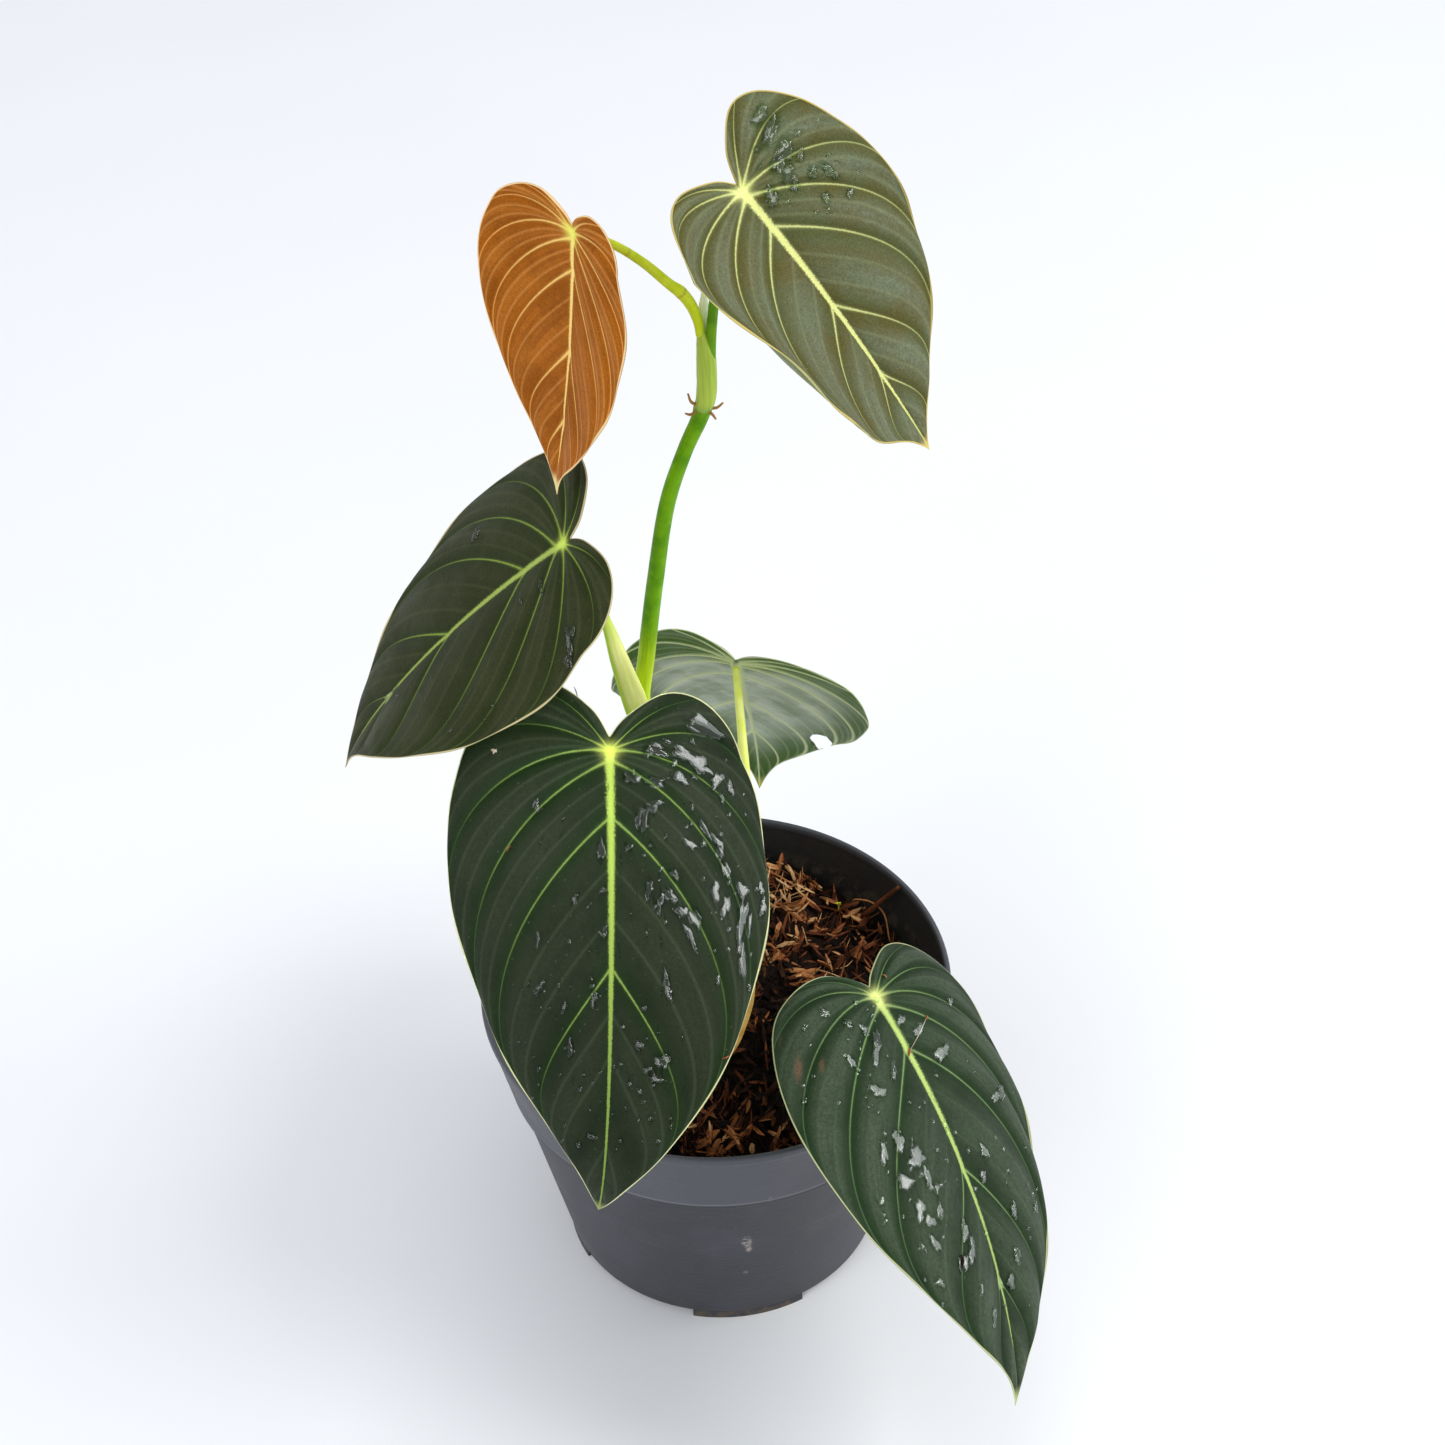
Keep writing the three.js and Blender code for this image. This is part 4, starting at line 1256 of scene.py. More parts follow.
@dataclass(frozen=True)
class Rod:
    """A tapering stem or stalk along a smooth line, with its half widths at the line's points."""

    path: tuple[Spot, ...]
    right: Widths
    left: Widths
    deep: Widths
    pale_from: float = 2.0
    pale_run: Pair = (0.0, 1.0)
    pale_ease: float = 0.06
    sides: int = 28
    per_span: int = 14

    def mesh(self) -> Skin:
        """Builds the rod's closed skin.

        Returns:
            Points, triangles, attribute values and sheet coordinates.
        """
        line = smooth_line(self.path, self.per_span)
        count, sides = len(line), self.sides
        run = np.linspace(0, 1, count)
        knots = np.linspace(0, 1, len(self.path))
        right, left, deep = (np.interp(run, knots, widths)[:, None]
                             for widths in (self.right, self.left, self.deep))
        ahead = unit(np.gradient(line, axis=0))
        side = unit(np.array((1.0, 0, 0)) - ahead * ahead[:, :1])
        back = np.cross(ahead, side)
        turn = np.linspace(0, 2 * np.pi, sides, endpoint=False)
        cos, sin = np.cos(turn), np.sin(turn)
        wide = np.where(cos > 0, right, left) * cos
        thin = deep * sin * np.where(np.abs(wide) > deep, 0.9, 1.0)
        skin = line[:, None] + wide[..., None] * side[:, None] + thin[..., None] * back[:, None]
        points = np.vstack((skin.reshape(-1, 3), line[:1], line[-1:]))
        low, high = self.pale_run
        inside = np.clip(np.minimum(run - low, high - run) / self.pale_ease, 0, 1)[:, None]
        pale = np.clip((cos[None] - self.pale_from) / 0.4, 0, 1) * inside
        lengths = distance_run(line)
        around = np.abs(np.linspace(-1, 1, sides, endpoint=False))
        sheet = np.column_stack((np.tile(around, count), np.repeat(lengths, sides)))
        values = {"pale": np.append(pale.ravel(), (0, 0)), "bark": np.zeros(len(points))}
        return (points, tube(count, sides, count * sides, count * sides + 1), values,
                np.vstack((sheet, (0, 0), (0, lengths[-1]))))

    def toned(self, tone: float) -> Skin:
        """The rod's skin as a bit of bark of one tone."""
        points, faces, _, sheet = self.mesh()
        return points, faces, {"tone": np.full(len(points), tone)}, sheet

    def middle(self, heights: Array) -> Array:
        """The rod's middle at heights, across and back."""
        line = smooth_line(self.path, 10)
        return np.column_stack([np.interp(heights, line[:, 2], line[:, k]) for k in (0, 1)])


def same(*widths: float) -> dict[str, Widths]:
    """A round rod's half widths on every side."""
    return {"right": widths, "left": widths, "deep": widths}


STEM_GREEN = StemFinish(green=(120, 174, 8), shade=(86, 146, 4), pale=(252, 255, 226),
                        upper=(178, 204, 12), upper_span=(0.3305, 0.335), lower=(204, 232, 36))
YELLOW_GREEN = StemFinish(green=(212, 228, 40), shade=(184, 210, 16), pale=(230, 238, 160))
NEW_STALK = StemFinish(green=(226, 238, 60), shade=(204, 222, 26), pale=(240, 246, 170))
# back stalk: pale partly in its own colour and partly as painted light for the light shining
# through it
PALE_STALK_PAINTED_BACKLIGHT = StemFinish(green=(248, 255, 150), shade=(234, 248, 104), pale=(244, 250, 180))
# left stalk's sheath: pale partly in its own colour and partly as painted light, lightened against
# the shade on its side away from the key lamp
SHEATHED_STALK_PAINTED_LIGHT = StemFinish(green=(200, 228, 50), shade=(172, 212, 26), pale=(255, 255, 164))
PETIOLE = StemFinish(green=(118, 168, 20), shade=(86, 140, 10), pale=(200, 218, 140))
DRIED_STRIP = StemFinish(green=(255, 206, 112), shade=(214, 146, 62), pale=(250, 226, 160),
                         upper=(255, 224, 130), upper_span=(0.108, 0.13), roughness=0.6)


@dataclass(frozen=True)
class Stem:
    """The main stem with its joints, and the sleeve and brown roots at the upper joint."""

    rod: Rod = Rod(
        path=((-3, 9, 62), (-4, 8, 92), (-9, 5, 130), (-16, 1, 175), (-19.3, 0, 222),
              (-16.8, 0, 244), (-13.2, 0, 272), (-8.7, 0, 300), (-3.5, 0, 317), (1.8, 0, 331),
              (2.7, 0.8, 339), (3, 1.2, 350), (3, 1.3, 360), (2.9, 1.4, 368.4)),
        right=(3.2, 3.2, 3.1, 2.9, 2.6, 2.5, 2.4, 2.25, 2.15, 2.4, 2.3, 2.1, 1.7, 0.35),
        left=(3.2, 3.2, 3.1, 2.9, 2.6, 2.5, 2.4, 2.25, 2.15, 2.4, 2.4, 2.4, 2.1, 0.35),
        deep=(3.2, 3.2, 3.1, 2.9, 2.6, 2.5, 2.4, 2.25, 2.15, 2.2, 1.4, 1.1, 0.8, 0.3),
        pale_from=-3.0, pale_run=(0.86, 1.5))
    sleeve: Rod = Rod(
        path=((1.9, -0.6, 331.6), (2.7, -1.2, 334.5), (3.1, -1.5, 338), (3.15, -1.5, 343),
              (3.15, -1.4, 348), (2.9, -1.2, 353), (1.9, -0.9, 358)),
        right=(2.3, 2.5, 2.6, 2.7, 2.6, 1.6, 0.4), left=(2.45, 2.6, 2.8, 2.85, 2.75, 2.4, 1.2),
        deep=(2.2, 2.6, 3.0, 3.0, 2.7, 2.0, 0.8))
    sleeve_pale: float = 0.12
    joints: Widths = (146, 226, 331.5)
    joint_swell: float = 0.28
    roots: tuple[tuple[Spot, ...], ...] = (
        ((0.4, -0.8, 332.6), (-1.3, -1.8, 334.4), (-2.1, -2.2, 337.4)),
        ((0.4, -0.8, 331), (-1.6, -2, 330.4), (-3.0, -2.5, 331.2)),
        ((3.2, -0.6, 331.6), (5.4, -1.7, 332.2), (7.2, -2, 334.0)),
        ((2.8, -1.2, 330.8), (4.2, -2.8, 330.9), (5.2, -3.4, 329.6)))
    root_widths: Widths = (0.5, 0.42, 0.26)

    def build(self) -> None:
        """Makes the stem, its sleeve and its roots as one piece."""
        points, faces, values, sheet = self.rod.mesh()
        line = points[:, 2]
        for joint in self.joints:
            swell = self.joint_swell * np.exp(-((line - joint) / 1.5) ** 2)
            points[:, :2] += unit(points[:, :2] - self.rod.middle(line)) * swell[:, None]
            ring = 0.35 * np.exp(-((line - joint) / 0.45) ** 2)
            values["bark"] = np.maximum(values["bark"], ring)
        sleeve = self.sleeve.mesh()
        sleeve[2]["pale"][:] = self.sleeve_pale
        parts = [(points, faces, values, sheet), sleeve]
        for root in self.roots:
            parts.append(Rod(path=root, sides=10, per_span=6, **same(*self.root_widths)).mesh())
            parts[-1][2]["bark"][:] = 1.0
        made = mesh_object("green_stem", *joined_meshes(parts))
        dress(made, STEM_GREEN.material("stem_skin"), "stem", "main_stem")


@dataclass(frozen=True)
class Stalk:
    """A leaf stalk, with the pale sheath at its foot where it has one."""

    name: str
    finish: StemFinish
    rod: Rod
    rings: Widths = ()

    def build(self) -> None:
        """Makes the stalk with its brown rings."""
        points, faces, values, sheet = self.rod.mesh()
        run = sheet[:, 1] / sheet[:, 1].max()
        for ring in self.rings:
            brown = 0.5 * np.exp(-((run - ring) / 0.008) ** 2)
            values["bark"] = np.maximum(values["bark"], brown)
        made = mesh_object(f"{self.name}_stalk", points, faces, values, sheet)
        skin = self.finish.material(f"{self.name}_stalk_skin")
        dress(made, skin, "stalk", f"{self.name}_leaf_stalk")


STALKS = (
    Stalk("front", YELLOW_GREEN, Rod(
        path=((-9.5, -0.4, 133), (-11.5, -5, 152), (-15, -11, 185), (-20, -19.5, 214),
              (-27.35, -34.5, 238.4)),
        right=(3.4, 3.2, 2.2, 1.7, 1.2), left=(3.4, 3.2, 2.2, 1.7, 1.2),
        deep=(1.8, 1.7, 1.7, 1.6, 1.2))),
    Stalk("low_right", YELLOW_GREEN, Rod(
        path=((22, -2, 66), (26, -4, 92), (34, -12, 113), (43, -29, 129), (47.7, -39.85, 138.8)),
        **same(1.9, 1.9, 1.7, 1.5, 1.1))),
    Stalk("left", SHEATHED_STALK_PAINTED_LIGHT, Rod(
        path=((-21, -4.3, 226), (-22.5, -5.6, 234), (-25, -7.4, 249), (-27.4, -10.2, 266),
              (-32, -16, 287), (-36.2, -24.85, 305)),
        right=(4.8, 4.9, 3.5, 1.5, 1.35, 1.1), left=(2.6, 2.4, 2.1, 1.5, 1.35, 1.1),
        deep=(1.6, 1.6, 1.5, 1.35, 1.3, 1.1), pale_from=-0.55, pale_run=(-0.06, 0.68),
        pale_ease=0.22)),
    Stalk("top_right", PETIOLE, Rod(
        path=((3.9, -1.4, 332.6), (4.3, -1.95, 338.5), (4.35, -1.6, 350), (4.9, -1.55, 360),
              (6.6, -2, 374), (9, -3.8, 388), (11.4, -8.5, 401), (12.85, -19.2, 410.4)),
        right=(0.7, 1.1, 1.35, 1.4, 1.35, 1.3, 1.25, 1.1),
        left=(0.8, 1.9, 1.5, 1.35, 1.35, 1.3, 1.25, 1.1),
        deep=(0.8, 1.4, 1.35, 1.35, 1.35, 1.3, 1.25, 1.1))),
    Stalk("new", NEW_STALK, Rod(
        path=((1.6, -1.1, 355.5), (1.2, -1.4, 360), (-0.6, -2.5, 366.2), (-3.1, -3.6, 370.8),
              (-5.7, -4.8, 374), (-12.4, -8.4, 383.4), (-19.5, -11.6, 391), (-28.5, -14.5, 396.95)),
        **same(1.1, 1.35, 1.55, 1.7, 1.4, 1.25, 1.15, 0.95)), rings=(0.3, 0.715)),
    Stalk("back", PALE_STALK_PAINTED_BACKLIGHT, Rod(
        path=((5, 13, 64), (5.5, 14, 96), (9, 19, 128), (11.6, 30, 152), (10.6, 44, 171),
              (9.25, 59.2, 187.7)),
        **same(2, 2, 1.8, 1.6, 1.45, 1.2))),
)


@dataclass(frozen=True)
class DriedSheath:
    """The dried, curled sheath that stands behind the front leaf."""

    rod: Rod = Rod(
        path=((0.6, -31, 96), (3.2, -28.6, 101.6), (6.2, -25.5, 106.2), (8.4, -22.5, 112),
              (10.1, -20, 118.4), (11.2, -17.5, 127), (11.8, -14.5, 143)),
        right=(0.25, 0.6, 1.0, 1.35, 1.6, 1.4, 0.5), left=(0.25, 0.7, 1.15, 1.5, 1.7, 1.4, 0.5),
        deep=(0.35, 0.4, 0.45, 0.45, 0.4, 0.4, 0.3))
    curl: float = 0.35

    def build(self) -> None:
        """Makes the strip, its edges rolled forward."""
        points, faces, values, sheet = self.rod.mesh()
        off = points[:, 0] - self.rod.middle(points[:, 2])[:, 0]
        points[:, 1] -= self.curl * off ** 2
        made = mesh_object("dried_strip", points, faces, values, sheet)
        dress(made, DRIED_STRIP.material("dried_strip_skin"), "dried_sheath", "dried_sheath")


@dataclass(frozen=True)
class Pot:
    """The nursery pot: a tapered body under a wider rim band, with feet and drain holes."""

    rim_radius: float = 75.0
    height: float = 107.6
    band_foot_radius: float = 69.3
    band_foot_height: float = 79.1
    lip_depth: float = 1.8
    body_top_radius: float = 67.5
    body_foot_radius: float = 52.4
    foot_height: float = 3.0
    wall: float = 1.6
    floor_thickness: float = 2.0
    steps: int = 144
    feet: int = 4
    foot_arc: float = 41.0
    foot_first: float = 8.6
    foot_width: float = 6.0
    centre_pad: float = 15.0
    drains: int = 6
    drain_radius: float = 4.0
    drain_ring: float = 32.0
    finish: PotFinish = PotFinish()

    def inner_radius(self, z: Array) -> Array:
        """Finds the wall's inner radius, a little inside the real one.

        Args:
            z: heights.

        Returns:
            The radius at each height.
        """
        lip = self.band_foot_height - self.lip_depth - 1
        heights = (self.foot_height + self.floor_thickness, lip, self.band_foot_height, self.height)
        radii = (self.body_foot_radius, self.body_top_radius, self.band_foot_radius,
                 self.rim_radius - 0.3)
        return np.interp(z, heights, radii) - self.wall

    def profile(self) -> list[Spot]:
        """Draws the turned section.

        Returns:
            Its corners: the radius, the height and the rounding there.
        """
        floor = self.foot_height + self.floor_thickness
        lip = self.band_foot_height - self.lip_depth
        rim, inner, top = self.rim_radius, self.rim_radius - self.wall, self.height
        return [
            (0, self.foot_height, 0), (self.body_foot_radius, self.foot_height, 1.2),
            (self.body_top_radius, lip - 0.1, 0.25), (self.band_foot_radius - 0.25, lip, 0.35),
            (self.band_foot_radius, self.band_foot_height, 0.6), (rim - 0.55, top - 3.4, 0.4),
            (rim, top - 2.6, 0.4), (rim, top, 1.0), (inner, top, 0.55),
            (inner - 0.35, top - 3.2, 0.6),
            (self.band_foot_radius - self.wall, self.band_foot_height, 1.0),
            (self.body_top_radius - self.wall, lip - 1, 0.8),
            (self.body_foot_radius - self.wall, floor, 1.5), (0, floor, 0),
        ]

    def build(self) -> None:
        """Spins the section, adds the feet and bores the drains."""
        body = self._section()
        spin(body, self.steps, 360)
        top = self.foot_height + 0.5 * self.floor_thickness
        self._combine(body, [self._foot(k, top) for k in range(self.feet)] + [
            self._cylinder(48, self.centre_pad, top, (0, 0, 0.5 * top))], "UNION")
        turns = [math.radians(360 / self.drains * (k + 0.5)) for k in range(self.drains)]
        self._combine(body, [self._cylinder(24, self.drain_radius, 10, (
            self.drain_ring * math.cos(turn), self.drain_ring * math.sin(turn), self.foot_height))
            for turn in turns], "DIFFERENCE")
        self._mark_inside(body.data)
        pick(body)
        bpy.ops.object.shade_smooth_by_angle(angle=math.radians(32))
        dress(body, self.finish.material("pot_plastic"), "pot", "pot")

    def _section(self) -> Object:
        """Makes the rounded section.

        Returns:
            A chain of edges.
        """
        places = [Vector((radius, 0, height)) for radius, height, _ in self.profile()]
        points: list[Vector] = []
        for k, (_, _, rounding) in enumerate(self.profile()):
            here = places[k]
            if rounding == 0:
                points.append(here)
                continue
            start = here + (places[k - 1] - here).normalized() * rounding
            end = here + (places[k + 1] - here).normalized() * rounding
            for share in (0, 0.25, 0.5, 0.75, 1):
                points.append(start.lerp(here, share).lerp(here.lerp(end, share), share))
        mesh = bpy.data.meshes.new("nursery_pot")
        mesh.from_pydata([p * MM for p in points], [(k, k + 1) for k in range(len(points) - 1)], [])
        return add_object("nursery_pot", mesh)

    @staticmethod
    def _combine(body: Object, tools: list[Object], operation: str) -> None:
        """Joins or cuts the body with each tool and removes the tool.

        Args:
            body: the pot.
            tools: the tools.
            operation: UNION or DIFFERENCE.
        """
        for tool in tools:
            modifier = body.modifiers.new("combine", "BOOLEAN")
            modifier.operation = operation
            modifier.solver = "EXACT"
            modifier.object = tool
            pick(body)
            bpy.ops.object.modifier_apply(modifier=modifier.name)
            bpy.data.objects.remove(tool)

    def _foot(self, number: int, top: float) -> Object:
        """Makes one curved foot under the body's edge.

        Args:
            number: which foot.
            top: its height.

        Returns:
            The foot.
        """
        deselect()
        middle = self.body_foot_radius - 0.1 - 0.5 * self.foot_width
        start = self.foot_first - 90 + 360 / self.feet * number - self.foot_arc / 2
        bpy.ops.mesh.primitive_plane_add(size=1, location=(0, 0, 0))
        foot = bpy.context.object
        for move in (Matrix.Diagonal((self.foot_width * MM, top * MM, 1, 1)),
                     Matrix.Rotation(math.pi / 2, 4, "X"),
                     Matrix.Translation((middle * MM, 0, 0.5 * top * MM)),
                     Matrix.Rotation(math.radians(start), 4, "Z")):
            foot.data.transform(move)
        spin(foot, 20, -self.foot_arc)
        return foot

    @staticmethod
    def _cylinder(sides: int, radius: float, depth: float, middle: Spot) -> Object:
        """Makes an upright cylinder: the pad under the base, or a drain's cutter.

        Args:
            sides: how many sides it has.
            radius: its radius.
            depth: its height.
            middle: its middle.

        Returns:
            The cylinder.
        """
        deselect()
        bpy.ops.mesh.primitive_cylinder_add(
            vertices=sides, radius=radius * MM, depth=depth * MM,
            location=[value * MM for value in middle])
        return bpy.context.object

    def _mark_inside(self, mesh: bpy.types.Mesh) -> None:
        """Marks the inner wall's corners, which painted shade darkens.

        Args:
            mesh: the pot's mesh.
        """
        where = corners(mesh)
        radius, high = np.hypot(where[:, 0], where[:, 1]), where[:, 2]
        lip = self.band_foot_height - self.lip_depth
        share = (high - self.foot_height) / (lip - self.foot_height)
        wall = self.body_foot_radius + (self.body_top_radius - self.body_foot_radius) * share
        share = (high - self.band_foot_height) / (self.height - self.band_foot_height)
        band = self.band_foot_radius + share * (self.rim_radius - self.band_foot_radius)
        limit = np.where(high > lip, band, wall) - 0.9
        inner = (radius < limit) & (high > self.foot_height + 0.5) & (high < self.height - 2.0)
        layer = mesh.attributes.new("inner", "FLOAT", "POINT")
        layer.data.foreach_set("value", inner.astype(np.float32))


@dataclass(frozen=True)
class ChipKind:
    """A sort of chip: its size ranges in millimetres, its bow, its tilt and how many there are."""

    count: int
    length: Pair
    width: Pair
    thin: float
    bow: float
    tilt: float
    tone: Pair
    lift: float


@dataclass(frozen=True)
class Mix:
    """Shredded bark and fern root that fills the pot.

    A swell is given by its place, its spread and its height. A patch of painted light, or of
    painted shade where it is negative, is given by its place, its radius and how much lighter the
    chips lie there.
    """

    edge_height: float = 91.0
    hump: float = 6.0
    gap: float = 0.35
    rings: int = 64
    sides: int = 168
    reach: float = 66.0
    swells: tuple[Widths, ...] = ((8, 56, 484, 6.5), (42, 38, 300, -3.5))
    painted_light_patches: tuple[Widths, ...] = ((26.0, 49.0, 11.0, 0.3), (13.0, -27.0, 22.0, -0.34))
    seed: int = 4127
    kinds: tuple[ChipKind, ...] = (
        ChipKind(900, (3, 11), (0.7, 2.4), 0.45, 0.05, 34, (0.02, 0.42), -0.6),
        ChipKind(760, (3, 11), (0.7, 2.3), 0.5, 0.06, 38, (0.36, 0.76), 0.3),
        ChipKind(300, (2.5, 9), (0.7, 2.0), 0.5, 0.05, 36, (0.72, 1.0), 0.8),
        ChipKind(900, (5, 16), (0.25, 0.6), 0.8, 0.18, 38, (0.1, 0.64), 0.5),
        ChipKind(120, (5, 13), (0.25, 0.55), 0.8, 0.14, 36, (0.6, 1.0), 1.0))
    finish: BarkFinish = BarkFinish()

    def height(self, x: Array, y: Array) -> Array:
        """Finds the bed's height.

        Args:
            x: places across.
            y: places back.

        Returns:
            The height at each place.
        """
        share = np.minimum(np.hypot(x + 8, y - 4) / self.reach, 1)
        rough = 1.1 * np.sin(x * 0.19 + 1) * np.cos(y * 0.23) + 0.8 * np.sin((x - y) * 0.31)
        high = self.edge_height + self.hump * (1 - share ** 2) + rough
        for across, back, spread, rise in self.swells:
            high = high + rise * np.exp(-((x - across) ** 2 + (y - back) ** 2) / spread)
        return high

    def core(self, pot: Pot) -> Skin:
        """Makes the dark bed under the chips, closed down to the pot's floor.

        Args:
            pot: the pot that it fills.

        Returns:
            The bed.
        """
        floor = pot.foot_height + pot.floor_thickness + 0.3
        turn = np.linspace(0, 2 * np.pi, self.sides, endpoint=False)
        ring = np.column_stack((np.cos(turn), np.sin(turn)))
        rows = []
        for z in (floor, pot.band_foot_height - pot.lip_depth - 1, pot.band_foot_height + 1):
            radius = float(pot.inner_radius(np.array(z))) - self.gap
            rows.append(np.column_stack((ring * radius, np.full(self.sides, z))))
        rim = float(pot.inner_radius(np.array(self.edge_height - 4))) - self.gap
        for k in range(self.rings):
            flat = ring * rim * (1 - k / self.rings)
            lumps = [noise.fractal(Vector((x * 0.28, y * 0.28, 3.0)), 1.0, 2.0, 4) for x, y in flat]
            high = self.height(flat[:, 0], flat[:, 1]) - 1.6 + 1.7 * np.array(lumps)
            rows.append(np.column_stack((flat, high)))
        points = np.vstack([*rows, ((0, 0, float(rows[-1][:, 2].mean())),), ((0, 0, floor),)])
        faces = tube(len(rows), self.sides, len(points) - 1, len(points) - 2)
        tones = np.array([0.12 + 0.12 * noise.noise(Vector(p) * 0.35) for p in points])
        return points, faces, {"tone": tones}, points[:, :2]

    @staticmethod
    def splinter(number: int) -> tuple[Array, Array]:
        """Models one rough splinter, a unit long and wide.

        Args:
            number: which splinter: a later one tapers closer to its ends.

        Returns:
            Its points and triangles.
        """
        deselect()
        bpy.ops.mesh.primitive_circle_add(vertices=5, radius=0.5, fill_type="NGON")
        chip = bpy.context.object
        chip.data.transform(Matrix.Translation((-0.5, 0, 0)) @ Matrix.Rotation(math.pi / 2, 4, "Y"))
        bpy.ops.object.mode_set(mode="EDIT")
        bpy.ops.mesh.select_all(action="SELECT")
        for _ in range(4):
            bpy.ops.mesh.extrude_region_move(TRANSFORM_OT_translate={"value": (0.25, 0, 0)})
        bpy.ops.mesh.select_all(action="SELECT")
        bpy.ops.mesh.normals_make_consistent(inside=False)
        bpy.ops.transform.vertex_random(offset=0.12, uniform=1.0, seed=number + 3)
        bpy.ops.object.mode_set(mode="OBJECT")
        for corner in chip.data.vertices:
            along = min(abs(corner.co.x) * 2, 1.2)
            corner.co.y *= 1 - 0.55 * along ** (2 + number)
            corner.co.z *= 1 - 0.5 * along ** 3
        chip.modifiers.new("thirds", "TRIANGULATE")
        pick(chip)
        bpy.ops.object.modifier_apply(modifier="thirds")
        points = np.array([v.co for v in chip.data.vertices])
        faces = np.array([p.vertices for p in chip.data.polygons])
        bpy.data.objects.remove(chip)
        return points, faces

    def chip(self, kind: ChipKind, shapes: list[tuple[Array, Array]], pot: Pot,
             draw: random.Random) -> Skin:
        """Lays one chip or fibre on the bed, clear of the wall.

        Args:
            kind: its sort.
            shapes: the splinters to choose from.
            pot: the pot that it stays clear of.
            draw: the random source.

        Returns:
            The chip.
        """
        points, faces = draw.choice(shapes)
        size = np.array((draw.uniform(*kind.length), draw.uniform(*kind.width), 0.0))
        size[2] = size[1] * kind.thin
        body = points * size
        bow = draw.uniform(-1, 1) * kind.bow * 2
        body[:, 2] += bow * (body[:, 0] ** 2) / size[0] * 2
        body[:, 1] += draw.uniform(-1, 1) * kind.bow * (body[:, 0] ** 2) / size[0] * 2
        far = self.reach * math.sqrt(draw.random())
        turn = draw.uniform(0, 2 * math.pi)
        x, y = far * math.cos(turn), far * math.sin(turn)
        turned = (Matrix.Rotation(draw.uniform(0, 2 * math.pi), 3, "Z")
                  @ Matrix.Rotation(math.radians(draw.gauss(0, kind.tilt)), 3, "Y")
                  @ Matrix.Rotation(draw.uniform(-0.9, 0.9), 3, "X"))
        body = body @ np.array(turned).T
        lift = kind.lift + draw.uniform(-0.5, 1.4)
        body += (x, y, float(self.height(np.array(x), np.array(y))) + lift)
        reach, limit = np.hypot(body[:, 0], body[:, 1]), pot.inner_radius(body[:, 2]) - 0.6
        worst = (reach - limit).argmax()
        over = reach[worst] - limit[worst]
        if over > 0:
            body -= np.array((*body[worst, :2], 0)) / reach[worst] * (over + 0.1)
        # painted light and painted shade: chips lie lighter in the lit patch at the back and darker
        # in the front blade's shade
        light = sum(lighter * math.exp(-((x - across) ** 2 + (y - back) ** 2) / radius ** 2)
                    for across, back, radius, lighter in self.painted_light_patches)
        cloud = noise.noise(Vector((x, y, 5.0)) * 0.06)
        tone = draw.uniform(*kind.tone) + (light + 0.3 * min(cloud, 0.2) + 0.02)
        offset = draw.uniform(0, 400)
        sheet = np.column_stack((points[:, 1] * size[1] + offset, points[:, 0] * size[0]))
        return body, faces, {"tone": np.full(len(body), tone)}, sheet

    def build(self, pot: Pot) -> None:
        """Makes the bed with its chips as one piece.

        Args:
            pot: the pot that it fills.
        """
        draw = random.Random(self.seed)
        shapes = [self.splinter(number) for number in range(5)]
        chips = [self.chip(kind, shapes, pot, draw)
                 for kind in self.kinds for _ in range(kind.count)]
        made = mesh_object("bark_mix", *joined_meshes([self.core(pot), *chips]))
        pick(made)
        bpy.ops.object.shade_smooth_by_angle(angle=math.radians(40))
        dress(made, self.finish.material("bark"), "potting_mix", "potting_mix")


@dataclass(frozen=True)
class Camera:
    """The camera of the photograph, for a frame of 1445 by 1445."""

    place: Spot = (4.5437, -655.8664, 808.3235)
    down: float = 0.7337
    roll: float = -0.0293
    focal_pixels: float = 3000.0
    frame_pixels: float = 1445.0
    sensor: float = 36.0

    def axes(self) -> tuple[Array, Array, Array]:
        """Finds the way the camera looks.

        Returns:
            Its right, up and forward directions.
        """
        forward = np.array((0, math.cos(self.down), -math.sin(self.down)))
        right = np.array((1.0, 0, 0))
        up = np.cross(right, forward)
        return (math.cos(self.roll) * right + math.sin(self.roll) * up,
                -math.sin(self.roll) * right + math.cos(self.roll) * up, forward)

    def project(self, points: Array) -> Array:
        """Finds where points lie in the photograph.

        Args:
            points: points in millimetres.

        Returns:
            Their pixels, across and down.
        """
        right, up, forward = self.axes()
        away = points - np.array(self.place)
        depth = away @ forward
        middle = self.frame_pixels / 2
        return np.column_stack((middle + self.focal_pixels * (away @ right) / depth,
                                middle - self.focal_pixels * (away @ up) / depth))

    def build(self) -> None:
        """Sets the scene's camera."""
        data = bpy.data.cameras.new("camera")
        data.sensor_width = self.sensor
        data.sensor_fit = "HORIZONTAL"
        data.lens = self.focal_pixels * self.sensor / self.frame_pixels
        data.clip_end = 50
        made = add_object("camera", data)
        right, up, forward = self.axes()
        turned = Matrix((right, up, -forward)).transposed().to_4x4()
        made.matrix_world = Matrix.Translation(Vector(self.place) * MM) @ turned
        bpy.context.scene.camera = made


@dataclass(frozen=True)
class WaterMark:
    """A drop or film of water, placed by its photograph pixel, with its size in millimetres."""

    across: float
    down: float
    long: float
    wide: float
    angle: float = 90.0
    high: float = 0.5


